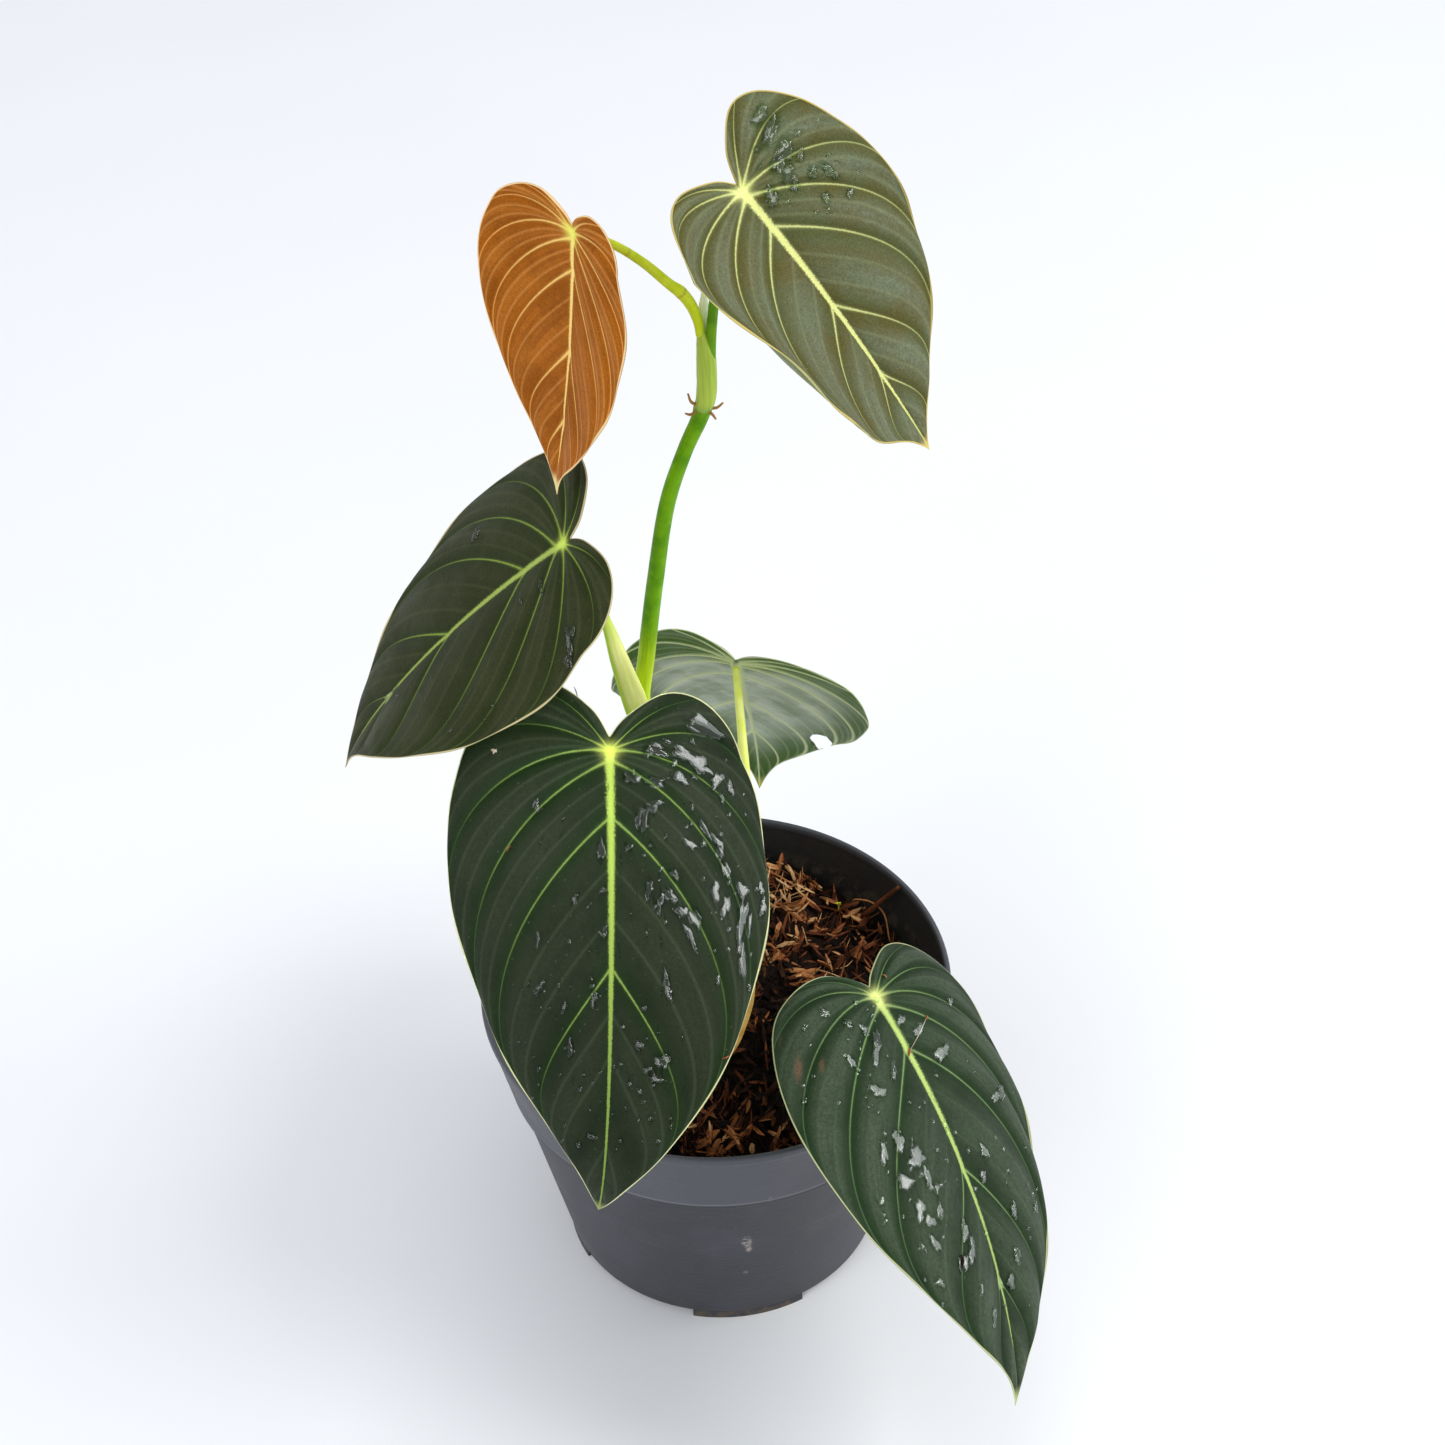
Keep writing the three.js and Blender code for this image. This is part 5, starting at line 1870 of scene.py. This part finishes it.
@dataclass(frozen=True)
class Spray:
    """Small drops scattered over a box of photograph pixels: how many, and their size and lean."""

    count: int
    box: tuple[float, float, float, float]
    long: Pair = (0.5, 1.5)
    slim: Pair = (0.6, 1.0)
    lean: Pair = (60.0, 120.0)

    def marks(self, draw: random.Random) -> list[WaterMark]:
        """Draws the spray's drops.

        Args:
            draw: the random source.

        Returns:
            The drops.
        """
        left, top, right, bottom = self.box
        drops = []
        for _ in range(self.count):
            long = draw.uniform(*self.long)
            wide = long * draw.uniform(*self.slim)
            drops.append(WaterMark(draw.uniform(left, right), draw.uniform(top, bottom), long, wide,
                                   draw.uniform(*self.lean), 0.18 + 0.28 * wide))
        return drops


def upper_face(blade: Object, camera: Camera) -> tuple[Array, Array, Array]:
    """Reads a finished blade's upper face.

    Args:
        blade: the blade, whose upper corners come first.
        camera: the camera of the photograph.

    Returns:
        Its corners, their normals and their photograph pixels, one a row.
    """
    count = len(blade.data.vertices) // 2
    where = corners(blade.data)[:count]
    normals = np.array([tuple(v.normal) for v in blade.data.vertices[:count]])
    return where, normals, camera.project(where)


@dataclass(frozen=True)
class Water:
    """Water on the upper face of one blade."""

    leaf: str
    films: tuple[WaterMark, ...]
    sprays: tuple[Spray, ...] = ()
    seed: int = 11
    rings: Widths = (0.4, 0.7, 0.84, 0.92, 0.97, 1.0)
    sides: int = 36
    furthest: float = 6.0

    def build(self, blade: Object, camera: Camera, material: Material) -> Object:
        """Lays the drops on the blade and darkens the blade under them.

        Args:
            blade: the finished blade.
            camera: the camera that the pixels refer to.
            material: the water.

        Returns:
            The drops, one piece.
        """
        where, normals, pixels = upper_face(blade, camera)
        count, right = len(where), camera.axes()[0]
        skin = BVHTree.FromPolygons([Vector(p) for p in where], [
            tuple(p.vertices) for p in blade.data.polygons if max(p.vertices) < count])
        draw = random.Random(self.seed)
        marks = [*self.films, *(mark for spray in self.sprays for mark in spray.marks(draw))]
        wet = np.zeros(2 * count)
        parts = []
        for mark in marks:
            away = np.hypot(*(pixels - (mark.across, mark.down)).T)
            spot = away.argmin()
            if away[spot] > self.furthest:
                continue
            middle, normal = where[spot], normals[spot]
            side = unit(right - normal * (right @ normal))
            up = np.cross(normal, side)
            cos, sin = math.cos(math.radians(mark.angle)), math.sin(math.radians(mark.angle))
            ways = (cos * side + sin * up, cos * up - sin * side)
            part = self._drop(mark, middle, normal, ways, skin, draw)
            if part is not None:
                parts.append(part)
                local = (where - middle) @ np.column_stack(ways)
                reach = np.hypot(local[:, 0] * 2 / mark.long, local[:, 1] * 2 / mark.wide)
                soaked = np.clip((1.5 - reach) / 0.4, 0, 1)
                wet[:count] = np.maximum(wet[:count], soaked)
        blade.data.attributes["wet"].data.foreach_set("value", wet.astype(np.float32))
        made = mesh_object(f"{self.leaf}_water", *joined_meshes(parts)[:2])
        dress(made, material, f"{self.leaf}_leaf")
        return made

    def _drop(self, mark: WaterMark, middle: Array, normal: Array, ways: tuple[Array, Array],
              skin: BVHTree, draw: random.Random) -> Skin | None:
        """One drop with a smooth top and a steep rim, pressed onto the blade's skin.

        Args:
            mark: its size.
            middle: the spot under it.
            normal: the blade's normal there.
            ways: its long and wide directions.
            skin: the blade's upper face.
            draw: the random source.

        Returns:
            Points, triangles, no values and empty sheet coordinates, or nothing over the margin.
        """
        phases = [draw.uniform(0, 6.28) for _ in range(4)]
        wobble = 0.36 if mark.long > 2 else 0.12
        n = self.sides
        turn = np.linspace(0, 2 * np.pi, n, endpoint=False)
        lump = 1 + wobble * sum(size * np.sin(waves * turn + phase) for size, waves, phase in zip(
            (0.6, 0.5, 0.35, 0.26), (2, 3, 5, 9), phases))
        far = mark.long * lump * np.cos(turn)
        edge = 0.5 * np.column_stack((far, mark.wide * lump * np.sin(turn)))
        shares = np.repeat((0.0, *self.rings), [1] + [n] * len(self.rings))
        flat = np.vstack((np.zeros((1, 2)), *(edge * ring for ring in self.rings)))
        spots = middle + flat @ np.array(ways)
        hits = [skin.ray_cast(Vector(spot + 5 * normal), Vector(-normal), 12)[0] for spot in spots]
        if None in hits:
            return None
        rise = np.array([(np.array(hit) - spot) @ normal for hit, spot in zip(hits, spots)])
        x, y = flat.T
        terms = np.column_stack((np.ones(len(x)), x, y, x * x, x * y, y * y))
        calm = terms @ np.linalg.lstsq(terms, rise, rcond=None)[0]
        dome = mark.high * np.maximum(1 - shares ** (10 if mark.long > 3 else 4), 0)
        height = np.where(shares < 0.99, np.maximum(calm, rise + 0.03) + dome, rise - 0.06)
        top = spots + height[:, None] * normal
        points = np.vstack((top, spots[0] + (rise.min() - 0.2) * normal))
        first = np.arange(1, 1 + n)
        after = np.roll(first, -1)
        faces = [np.column_stack((np.zeros(n, int), first, after))]
        for ring in range(0, (len(self.rings) - 1) * n, n):
            faces.append(halved(first + ring, first + ring + n, after + ring + n, after + ring))
        last = (len(self.rings) - 1) * n
        faces.append(np.column_stack((after + last, first + last, np.full(n, len(points) - 1))))
        return points, np.vstack(faces), {}, np.zeros((len(points), 2))


@dataclass(frozen=True)
class Fleck:
    """A crumb or fibre on a blade, between two photograph pixels; its half width is in millimetres.

    One that stands rises upright from its first pixel instead.
    """

    start: Pair
    end: Pair
    width: float
    tone: float
    bow: float = 0.4
    stand: float = 0.0


@dataclass(frozen=True)
class Debris:
    """Crumbs of bark and fibre that stick to one blade."""

    leaf: str
    flecks: tuple[Fleck, ...]
    finish: BarkFinish = BarkFinish(red=(170, 92, 64), tan=(206, 150, 100), straw=(244, 240, 222))

    def build(self, blade: Object, camera: Camera) -> None:
        """Lays the crumbs on the blade.

        Args:
            blade: the finished blade.
            camera: the camera that the pixels refer to.
        """
        where, normals, pixels = upper_face(blade, camera)
        parts = []
        for fleck in self.flecks:
            spots = [np.hypot(*(pixels - end).T).argmin() for end in (fleck.start, fleck.end)]
            start, end = (where[spot] + (0.6 * fleck.width + 0.1) * normals[spot] for spot in spots)
            if fleck.stand:
                end = start + (-0.2 * fleck.stand, 0, fleck.stand)
            middle = 0.5 * (start + end) + fleck.bow * normals[spots[1]]
            widths = same(0.5 * fleck.width, fleck.width, 0.4 * fleck.width)
            parts.append(Rod((start, middle, end), sides=7, per_span=5, **widths).toned(fleck.tone))
        made = mesh_object(f"{self.leaf}_debris", *joined_meshes(parts))
        dress(made, self.finish.material(f"{self.leaf}_crumbs"), f"{self.leaf}_leaf")


FRONT = Blade(
    "front", (-27.3, -35, 239.2), heading=0, dip=34, roll=-7.5, length=140,
    bend=22, droop=57, swerve=1.5, twist=-29, belly=-0.06,
    right=HalfBlade(50.5, 1.2, -0.8, 37, -4), left=HalfBlade(48, 0.95, -0.6, 40, 12),
    finish=LeafFinish(
        lamina=(27, 39, 17), patch=(17, 31, 10), painted_sheen=(50, 58, 41), halo=(20, 44, 10),
        vein=(132, 162, 74), vein_end=(54, 76, 38), rib=(182, 208, 90),
        star=(230, 242, 110), minor=(78, 92, 68), margin=(236, 238, 180),
        under=(140, 158, 128), under_edge=(80, 106, 60), under_vein=(190, 206, 130),
        tip=(150, 160, 90), glow_share=0.1, vein_share=0.9, halo_share=0.65, painted_sheen_share=0.64,
        speck_share=0.6),
    veins=Veins(rib_base=1.25, rib_power=1.45, side_base=0.23, side_tip=0.14, star=3.0,
                strength=(0, 0.5, 0.7, 1.0, 1.0, 1.0, 0.85, 0)))
LOW_RIGHT = Blade(
    "low_right", (48.3, -40, 139.6), heading=32.5, dip=24.5, roll=-23.5, length=130,
    bend=29, droop=13, swerve=3.5, twist=10, belly=-0.01,
    right=HalfBlade(52, 0.7, 13, 46, 1.5), left=HalfBlade(44, 0.85, 7.5, 26.5, 0), quilting=1.1,
    finish=LeafFinish(
        lamina=(33, 50, 26), patch=(22, 38, 17), painted_sheen=(86, 100, 80), halo=(24, 50, 18),
        vein=(124, 152, 94), vein_end=(70, 92, 62), rib=(196, 220, 122),
        star=(236, 246, 150), minor=(88, 112, 82), margin=(196, 202, 150),
        under=(140, 158, 128), under_edge=(80, 106, 60), under_vein=(186, 204, 140),
        tip=(196, 206, 140), scar=(102, 78, 58), rib_fade=0.4, minor_share=0.12,
        halo_share=0.55),
    scars=(Scar(798, 1069, 7, 20), Scar(822, 1066, 5, 11, 0.9), Scar(780, 1040, 3, 8, 0.5),
           Scar(790, 1000, 3, 5, 0.4)),
    veins=Veins(rib_base=1.5, rib_power=1.3, side_base=0.25, side_tip=0.14, star=3.7,
                strength=(0, 0.55, 0.7, 0.9, 1.0, 1.0, 0.8, 0.3)))
LEFT = Blade(
    "left", (-37, -25, 305.7), heading=-94, dip=40, roll=-11, length=105.5,
    bend=15, droop=13, swerve=-7.5, twist=-7, belly=-0.03,
    right=HalfBlade(38, 1.08, 13.5, 17.5, 12), left=HalfBlade(42, 1.04, 4, 34, -5),
    finish=LeafFinish(
        lamina=(46, 50, 19), patch=(34, 41, 11), painted_sheen=(59, 64, 38), halo=(36, 50, 13),
        vein=(130, 152, 62), vein_end=(70, 82, 36), rib=(168, 188, 92),
        star=(210, 232, 100), minor=(78, 86, 54), margin=(214, 200, 150),
        under=(130, 146, 118), under_edge=(84, 100, 60), under_vein=(178, 192, 124),
        tip=(176, 150, 100), halo_share=0.55, rib_fade=0.5),
    veins=Veins(rib_base=1.05, rib_power=1.2, side_base=0.22, side_tip=0.12, star=2.4,
                strength=(0, 0.6, 0.8, 1.0, 1.0, 1.0, 0.9, 0.3)))
TOP_RIGHT = Blade(
    "top_right", (13.3, -20, 410.7), heading=77, dip=51.5, roll=44.5, length=87,
    bend=6, droop=0, swerve=7, twist=28, belly=-0.01,
    right=HalfBlade(46.5, 1.18, 4, -76, 8), left=HalfBlade(33, 1.6, 13.5, 6.5, -5.5),
    finish=LeafFinish(
        lamina=(84, 89, 53), patch=(86, 77, 24), painted_sheen=(120, 131, 111), halo=(72, 78, 32),
        vein=(206, 212, 138), vein_end=(152, 156, 100), rib=(230, 234, 146),
        star=(246, 252, 160), minor=(136, 144, 106), margin=(206, 184, 104),
        under=(132, 140, 112), under_edge=(104, 110, 70), under_vein=(206, 214, 150),
        tip=(220, 200, 120), bands=22.0, patch_share=0.85, painted_sheen_share=0.68, band_share=0.45,
        halo_share=0.4, minor_share=0.24, rib_fade=0.2),
    veins=Veins(rib_base=1.0, rib_power=1.2, side_base=0.24, side_tip=0.12, star=2.6,
                strength=(0, 0.7, 0.85, 1.0, 1.0, 1.0, 0.9, 0.6)))
NEW = Blade(
    "new", (-29.4, -15, 397), heading=-50.5, dip=87, roll=9, length=79,
    bend=-10.5, droop=6, swerve=1, twist=-6, belly=-0.03,
    right=HalfBlade(31.5, 0.9, 10.5, -26, 2.5), left=HalfBlade(29, 1, 13, 24, -5), edge_wave=0.2,
    finish=LeafFinish(
        lamina=(162, 91, 14), patch=(126, 66, 7), painted_sheen=(186, 114, 38), halo=(172, 98, 16),
        vein=(248, 206, 116), vein_end=(222, 154, 78), rib=(254, 226, 134),
        star=(240, 240, 110), minor=(216, 150, 76), margin=(250, 218, 160),
        under=(158, 100, 62), under_edge=(136, 82, 48), under_vein=(214, 164, 110),
        tip=(248, 228, 160), bands=90.0, patch_share=0.7, band_share=0.5, halo_share=0.2,
        minor_share=0.35, speck_share=0.25, rib_fade=0.3, glow_share=0.22, tip_from=0.91,
        specular=0.06, velvet=0.0),
    veins=Veins(rib_base=0.9, rib_power=1.2, side_base=0.22, side_tip=0.13, minor=0.3, star=3.4,
                strength=(0, 0.9, 0.95, 1.0, 1.0, 1.0, 1.0, 0.9)))
BACK = Blade(
    "back", (9.4, 60, 188.3), heading=175.7, dip=53, roll=6.5, length=121,
    bend=6.5, droop=39, swerve=5.5, twist=-6, belly=-0.04,
    right=HalfBlade(44, 1.08, 0.2, 19, -1), left=HalfBlade(43.5, 1.34, 12, 49.5, 8.5),
    finish=LeafFinish(
        lamina=(50, 68, 48), patch=(34, 52, 30), painted_sheen=(70, 84, 68), halo=(44, 80, 34),
        vein=(150, 186, 84), vein_end=(90, 124, 60), rib=(192, 218, 96),
        star=(226, 240, 140), minor=(96, 112, 90), margin=(206, 214, 156),
        under=(206, 218, 196), under_edge=(76, 108, 46), under_vein=(218, 230, 172),
        tip=(210, 212, 120)),
    veins=Veins(rib_base=1.7, side_base=0.5, side_tip=0.26),
    bite=Bite(0.668, 0.205, 9, 3.9))
BLADES = (FRONT, LOW_RIGHT, LEFT, TOP_RIGHT, NEW, BACK)

FRONT_WATER = Water("front", tuple(WaterMark(*row) for row in (
    (684, 754, 7.4, 4.4, -18, 0.45), (705, 728, 14, 4.6, -33, 0.45), (657, 750, 6.4, 3.8, -10),
    (679, 779, 6, 3, -20), (650, 751, 3, 4, 80), (657, 783, 2.9, 6, 90), (634, 778, 4, 5, 110),
    (654, 805, 2.6, 6, 110), (643, 818, 7, 2.6, 80), (717, 780, 5, 4, 70),
    (728, 787, 4, 2.6, 100), (722, 800, 3, 2, 100), (687, 845, 5, 2.5, -40),
    (703, 828, 7, 1.8, -65), (705, 842, 3, 2, -50), (717, 841, 5, 2.2, -60),
    (728, 870, 6, 2.4, -65), (719, 852, 2.4, 6, 0), (742, 890, 5, 3.8, 70), (713, 892, 6, 3, 80),
    (739, 921, 11, 3.6, 86, 0.7), (751, 923, 6, 1.6, 85), (724, 905, 7, 3, 80),
    (763, 905, 6.5, 2, 90), (762, 888, 4, 2, 90), (661, 903, 6.4, 2, 80), (671, 895, 3, 5, 20),
    (679, 911, 4, 3.4, 60), (695, 918, 6, 3.4, 110), (692, 938, 8, 2, -60),
    (741, 962, 9, 3, 85, 0.65), (739, 948, 4, 2, 90), (666, 989, 8, 2.2, 100, 0.6),
    (674, 876, 3, 3, 0), (648, 889, 5.6, 2.2, 85), (640, 818, 2.4, 6, 0), (630, 846, 2.4, 2.2, 0),
    (600, 851, 6, 2.4, 80), (594, 1000, 4.6, 2.2, 85), (661, 1060, 4, 4.6, 0),
    (645, 1069, 2.2, 2.2, 0), (654, 1080, 4, 2, 0), (638, 1045, 2.2, 3.2, 0),
    (568, 1048, 5.4, 1.8, 85), (568, 941, 1.6, 1.6, 0), (592, 1138, 2.8, 2.2, 0),
    (540, 939, 4.4, 1.6, 85), (536, 805, 4, 2.2, 80), (575, 899, 3.6, 1.5, 70),
    (605, 932, 3.2, 2.2, 90), (601, 890, 2.2, 2, 0), (718, 981, 3, 1.8, 80),
    (748, 988, 2.6, 1.8, 80), (536, 988, 4.4, 2.4, 60), (643, 1010, 2, 2, 0),
    (563, 1004, 3.4, 1.8, 70), (700, 764, 7.2, 4.4, -42, 0.45), (708, 773, 3.4, 2, -50),
    (674, 764, 2.6, 2, 0), (691, 741, 2.4, 1.6, -30), (668, 741, 3, 1.6, -10),
    (694, 778, 2.2, 2.2, 0),
)), sprays=(
    Spray(70, (520, 975, 690, 1150), (0.5, 1.9), (0.5, 1.0)),
    Spray(46, (640, 760, 760, 960), (0.6, 2.4), (0.4, 0.9), (70, 110)),
    Spray(26, (520, 780, 640, 960), (0.4, 1.2)),
), seed=23)
LOW_RIGHT_WATER = Water("low_right", tuple(WaterMark(*row) for row in (
    (825, 1012, 3, 3.6, 60), (847, 1025, 4, 2.4, 150), (876, 1045, 12, 3.4, 85),
    (852, 1063, 4.4, 3, 120), (878, 1090, 5.4, 4.4, 0), (893, 1070, 7, 2, 80),
    (864, 1030, 5, 3, 130), (941, 1053, 7, 4.4, 60), (900, 1021, 5, 2.4, 70),
    (917, 1030, 6, 2.6, 70), (899, 1140, 7, 4, 90), (915, 1160, 7, 6, 20), (903, 1180, 7, 4, -20),
    (883, 1155, 8, 2.6, 100), (927, 1178, 6, 3, 100), (920, 1208, 7, 3.4, 100),
    (932, 1220, 3.8, 4.2, 0), (939, 1213, 6, 2.4, 90), (964, 1230, 7, 3, 85),
    (973, 1252, 8, 3, 90), (935, 1245, 5, 3, 120), (985, 1150, 5.4, 3, 110),
    (984, 1174, 3, 3.6, 0), (1000, 1095, 8, 4, 60), (1014, 1211, 4.6, 3, 90),
    (1033, 1207, 3.6, 2.6, 90), (1018, 1254, 4.6, 3.4, 110), (961, 1265, 5, 2, 90),
    (941, 1281, 3, 3, 0), (981, 1290, 3, 2, 90), (994, 1318, 6, 2.2, 90), (1010, 1282, 5, 3, 70),
    (965, 1262, 6, 2, 90), (950, 1000, 3, 2, 90),
)), sprays=(
    Spray(60, (860, 1060, 1040, 1320), (0.6, 2.0), (0.5, 1.0)),
    Spray(30, (800, 1000, 900, 1120), (0.6, 2.0), (0.5, 1.0)),
    Spray(24, (880, 1130, 960, 1260), (1.4, 3.4), (0.4, 0.8)),
), seed=5)
TOP_RIGHT_WATER = Water("top_right", tuple(WaterMark(*row) for row in (
    (770, 130, 3, 8, -20), (785, 151, 6.5, 4, 80), (772, 198, 5, 3, 100), (788, 175, 5, 2.4, 70),
    (800, 156, 3, 2, 90), (796, 185, 3, 2, 90), (825, 196, 2.6, 2.2, 90), (849, 192, 2.6, 2, 90),
    (812, 173, 3.4, 2, 70), (830, 172, 6, 2, 130), (760, 115, 5, 3, 70), (778, 165, 5, 3, 60),
)), sprays=(Spray(22, (750, 110, 860, 215), (0.5, 1.8)),), seed=9)
LEFT_WATER = Water("left", tuple(WaterMark(*row) for row in (
    (475, 535, 4.6, 2, 70), (571, 645, 9, 2.2, 100, 0.6), (574, 632, 3, 1.6, 90),
    (568, 661, 4, 1.8, 100), (541, 586, 5, 1.4, 110), (520, 600, 2, 1.4, 90),
    (395, 690, 2, 1.2, 60),
)), sprays=(Spray(10, (380, 690, 560, 740), (0.5, 1.3)),
            Spray(8, (545, 600, 600, 690), (0.5, 1.4))),
    seed=3)
WATERS = (FRONT_WATER, LOW_RIGHT_WATER, TOP_RIGHT_WATER, LEFT_WATER)

DEBRIS = (
    Debris("front", (
        Fleck((493.5, 750), (497, 754), 0.5, 1.0), Fleck((496, 749.5), (495, 755), 0.4, 1.0),
        Fleck((506.5, 853), (510, 847), 0.22, 0.62),
        Fleck((578, 697), (577, 696), 0.16, 0.1, 0.25, 3.6),
        Fleck((728, 1056.5), (719.5, 1058.5), 0.24, 0.62, 0.35))),
    Debris("low_right", (
        Fleck((925.6, 1016.4), (909.4, 1052), 0.17, 1.0, 0.9),
        Fleck((908.6, 1049), (910, 1057), 0.42, 0.62, 0.2),
        Fleck((925, 1015), (926.4, 1019), 0.3, 0.7, 0.2),
        Fleck((961, 1255), (960.5, 1268), 0.5, 0.2), Fleck((882, 975), (886, 978), 0.3, 0.8))),
)


@dataclass(frozen=True)
class LooseBits:
    """What lies on the mix: a twig that leans on the wall, bent fibres and a tiny seedling."""

    twig: Rod = Rod(((48.6, 43, 89.5), (50.4, 41.8, 92), (55.5, 40.2, 99.5), (60.8, 38.8, 107)),
                    sides=12, per_span=8, **same(0.5, 0.95, 0.85, 0.6))
    twig_tone: float = 0.5
    fibres: tuple[Rod, ...] = (
        Rod(((46.2, 47, 91.5), (46.9, 45, 95.5), (52.4, 42.5, 96.4), (56, 38, 95.6),
             (57.6, 30, 90.5)), sides=7, per_span=8, **same(0.2, 0.28, 0.3, 0.28, 0.2)),
        Rod(((12, 62, 94), (16, 58, 98.5), (21, 54, 99.2), (27, 52, 96)), sides=7, per_span=8,
            **same(0.2, 0.3, 0.3, 0.2)),
        Rod(((24, 8, 95), (31, 4, 99.6), (36, -3, 98.6), (38, -9, 93)), sides=7, per_span=8,
            **same(0.2, 0.32, 0.3, 0.2)))
    fibre_tone: float = 0.82
    seedling: tuple[Rod, ...] = (
        Rod(((41.3, 44.2, 91.5), (41.4, 43.7, 94), (41.3, 43.4, 95.6)), sides=7, per_span=5,
            **same(0.2, 0.2, 0.2)),
        Rod(((41.3, 43.4, 95.6), (40.9, 43.1, 96), (40.3, 42.8, 95.9)), sides=8, per_span=5,
            right=(0.15, 0.5, 0.1), left=(0.15, 0.5, 0.1), deep=(0.15, 0.2, 0.1)),
        Rod(((41.3, 43.4, 95.6), (41.7, 43.2, 96), (42.1, 43.1, 95.8)), sides=8, per_span=5,
            right=(0.15, 0.4, 0.1), left=(0.15, 0.4, 0.1), deep=(0.15, 0.2, 0.1)))

    def build(self) -> None:
        """Makes the woody bits as one piece and the seedling as another."""
        parts = [self.twig.toned(self.twig_tone)]
        parts += [fibre.toned(self.fibre_tone) for fibre in self.fibres]
        made = mesh_object("loose_twigs", *joined_meshes(parts))
        dress(made, BarkFinish().material("twig_bark"), "potting_mix")
        sprout = mesh_object("seedling", *joined_meshes([rod.mesh() for rod in self.seedling]))
        dress(sprout, YELLOW_GREEN.material("seedling_skin"), "potting_mix")


@dataclass(frozen=True)
class Lamp:
    """A soft studio light, in metres, watts and degrees."""

    name: str
    place: Spot
    aim: Spot
    size: float
    power: float
    colour: Spot = (1.0, 1.0, 1.0)
    spread: float = 180.0

    def build(self) -> Object:
        """Adds the light, turned towards its aim.

        Returns:
            The light.
        """
        data = bpy.data.lights.new(self.name, "AREA")
        data.size = self.size
        data.spread = math.radians(self.spread)
        data.energy = self.power
        data.color = self.colour
        made = add_object(self.name, data)
        made.location = self.place
        way = Vector(self.aim) - Vector(self.place)
        made.rotation_euler = way.to_track_quat("-Z", "Y").to_euler()
        return made


@dataclass(frozen=True)
class Studio:
    """A pale floor under soft light, in metres."""

    floor_size: float = 12.0
    sky: Spot = (0.945, 0.968, 1.0)
    sky_strength: float = 0.72
    lamps: tuple[Lamp, ...] = (
        Lamp("key", (1.4, -0.2, 1.4), (0, 0, 0.15), 0.9, 18.5, (1.0, 0.994, 0.97)),
        Lamp("fill", (-1.0, -1.3, 1.3), (0, 0, 0.2), 1.0, 10.0),
        Lamp("top", (-0.1, -0.2, 1.75), (0, 0, 0.2), 0.6, 2.5, (0.99, 0.99, 1.0)))
    gleams: tuple[Lamp, ...] = (
        Lamp("gleam_right", (1.6, 0.05, 1.1), (0, 0, 0.2), 2.3, 64.0, (0.95, 0.99, 1.0)),
        Lamp("gleam_front", (0.1, -1.5, 1.2), (0, 0, 0.2), 0.7, 8.0),
        Lamp("gleam_low", (1.0, -1.6, 0.75), (0, 0, 0.4), 0.6, 7.0),
        Lamp("gleam_left", (-1.7, 0.0, 0.9), (0, 0, 0.3), 0.35, 1.0))
    lobe_fill: Lamp = Lamp(
        "lobe_fill", (-0.02, -0.67, 0.81), (-0.054, -0.028, 0.242), 0.05, 0.012, spread=10.5)
    gleam_low_right: Lamp = Lamp(
        "gleam_low_right", (1.3, -0.15, 1.45), (0.06, -0.08, 0.1), 1.7, 24.0)

    def build(self) -> None:
        """Adds the floor, the sky and the lamps, and sets a plain view."""
        deselect()
        bpy.ops.mesh.primitive_plane_add(size=self.floor_size, location=(0, 0, 0))
        floor = bpy.context.object
        floor.name = "floor"
        floor.data.materials.append(FloorFinish().material("floor_paper"))
        world = bpy.data.worlds.new("sky")
        world.use_nodes = True
        background = world.node_tree.nodes["Background"]
        background.inputs[0].default_value = (*self.sky, 1)
        background.inputs[1].default_value = self.sky_strength
        bpy.context.scene.world = world
        for lamp in self.lamps:
            lamp.build()
        bpy.context.scene.view_settings.view_transform = "Standard"
        bpy.context.scene.view_settings.look = "None"

    def light_pieces(self, front_blade: Object, drops: dict[str, Object]) -> None:
        """Adds the lamps that only the water catches, and a weak one for the front blade's lobe.

        Args:
            front_blade: the blade whose upper lobe lies in shade.
            drops: the water by leaf.
        """
        for name, pieces, lamps in (
                ("water_drops", drops.values(), self.gleams),
                ("shaded_blade", (front_blade,), (self.lobe_fill,)),
                ("low_right_drops", (drops["low_right"],), (self.gleam_low_right,))):
            receivers = bpy.data.collections.new(name)
            for piece in pieces:
                receivers.objects.link(piece)
            for lamp in lamps:
                lamp.build().light_linking.receiver_collection = receivers


def main() -> None:
    """Builds the plant, its pot and its mix, then the studio."""
    logging.basicConfig(level=logging.INFO, format="%(name)s %(message)s")
    deselect()
    build_groups()
    camera = Camera()
    camera.build()
    studio = Studio()
    studio.build()
    pot = Pot()
    pot.build()
    Mix().build(pot)
    for bits in (LooseBits(), Stem(), DriedSheath(), *STALKS):
        bits.build()
    blades = {blade.name: blade.build(camera) for blade in BLADES}
    for debris in DEBRIS:
        debris.build(blades[debris.leaf], camera)
    water = WaterFinish().material("water")
    drops = {film.leaf: film.build(blades[film.leaf], camera, water) for film in WATERS}
    studio.light_pieces(blades["front"], drops)


if __name__ == "__main__":
    main()
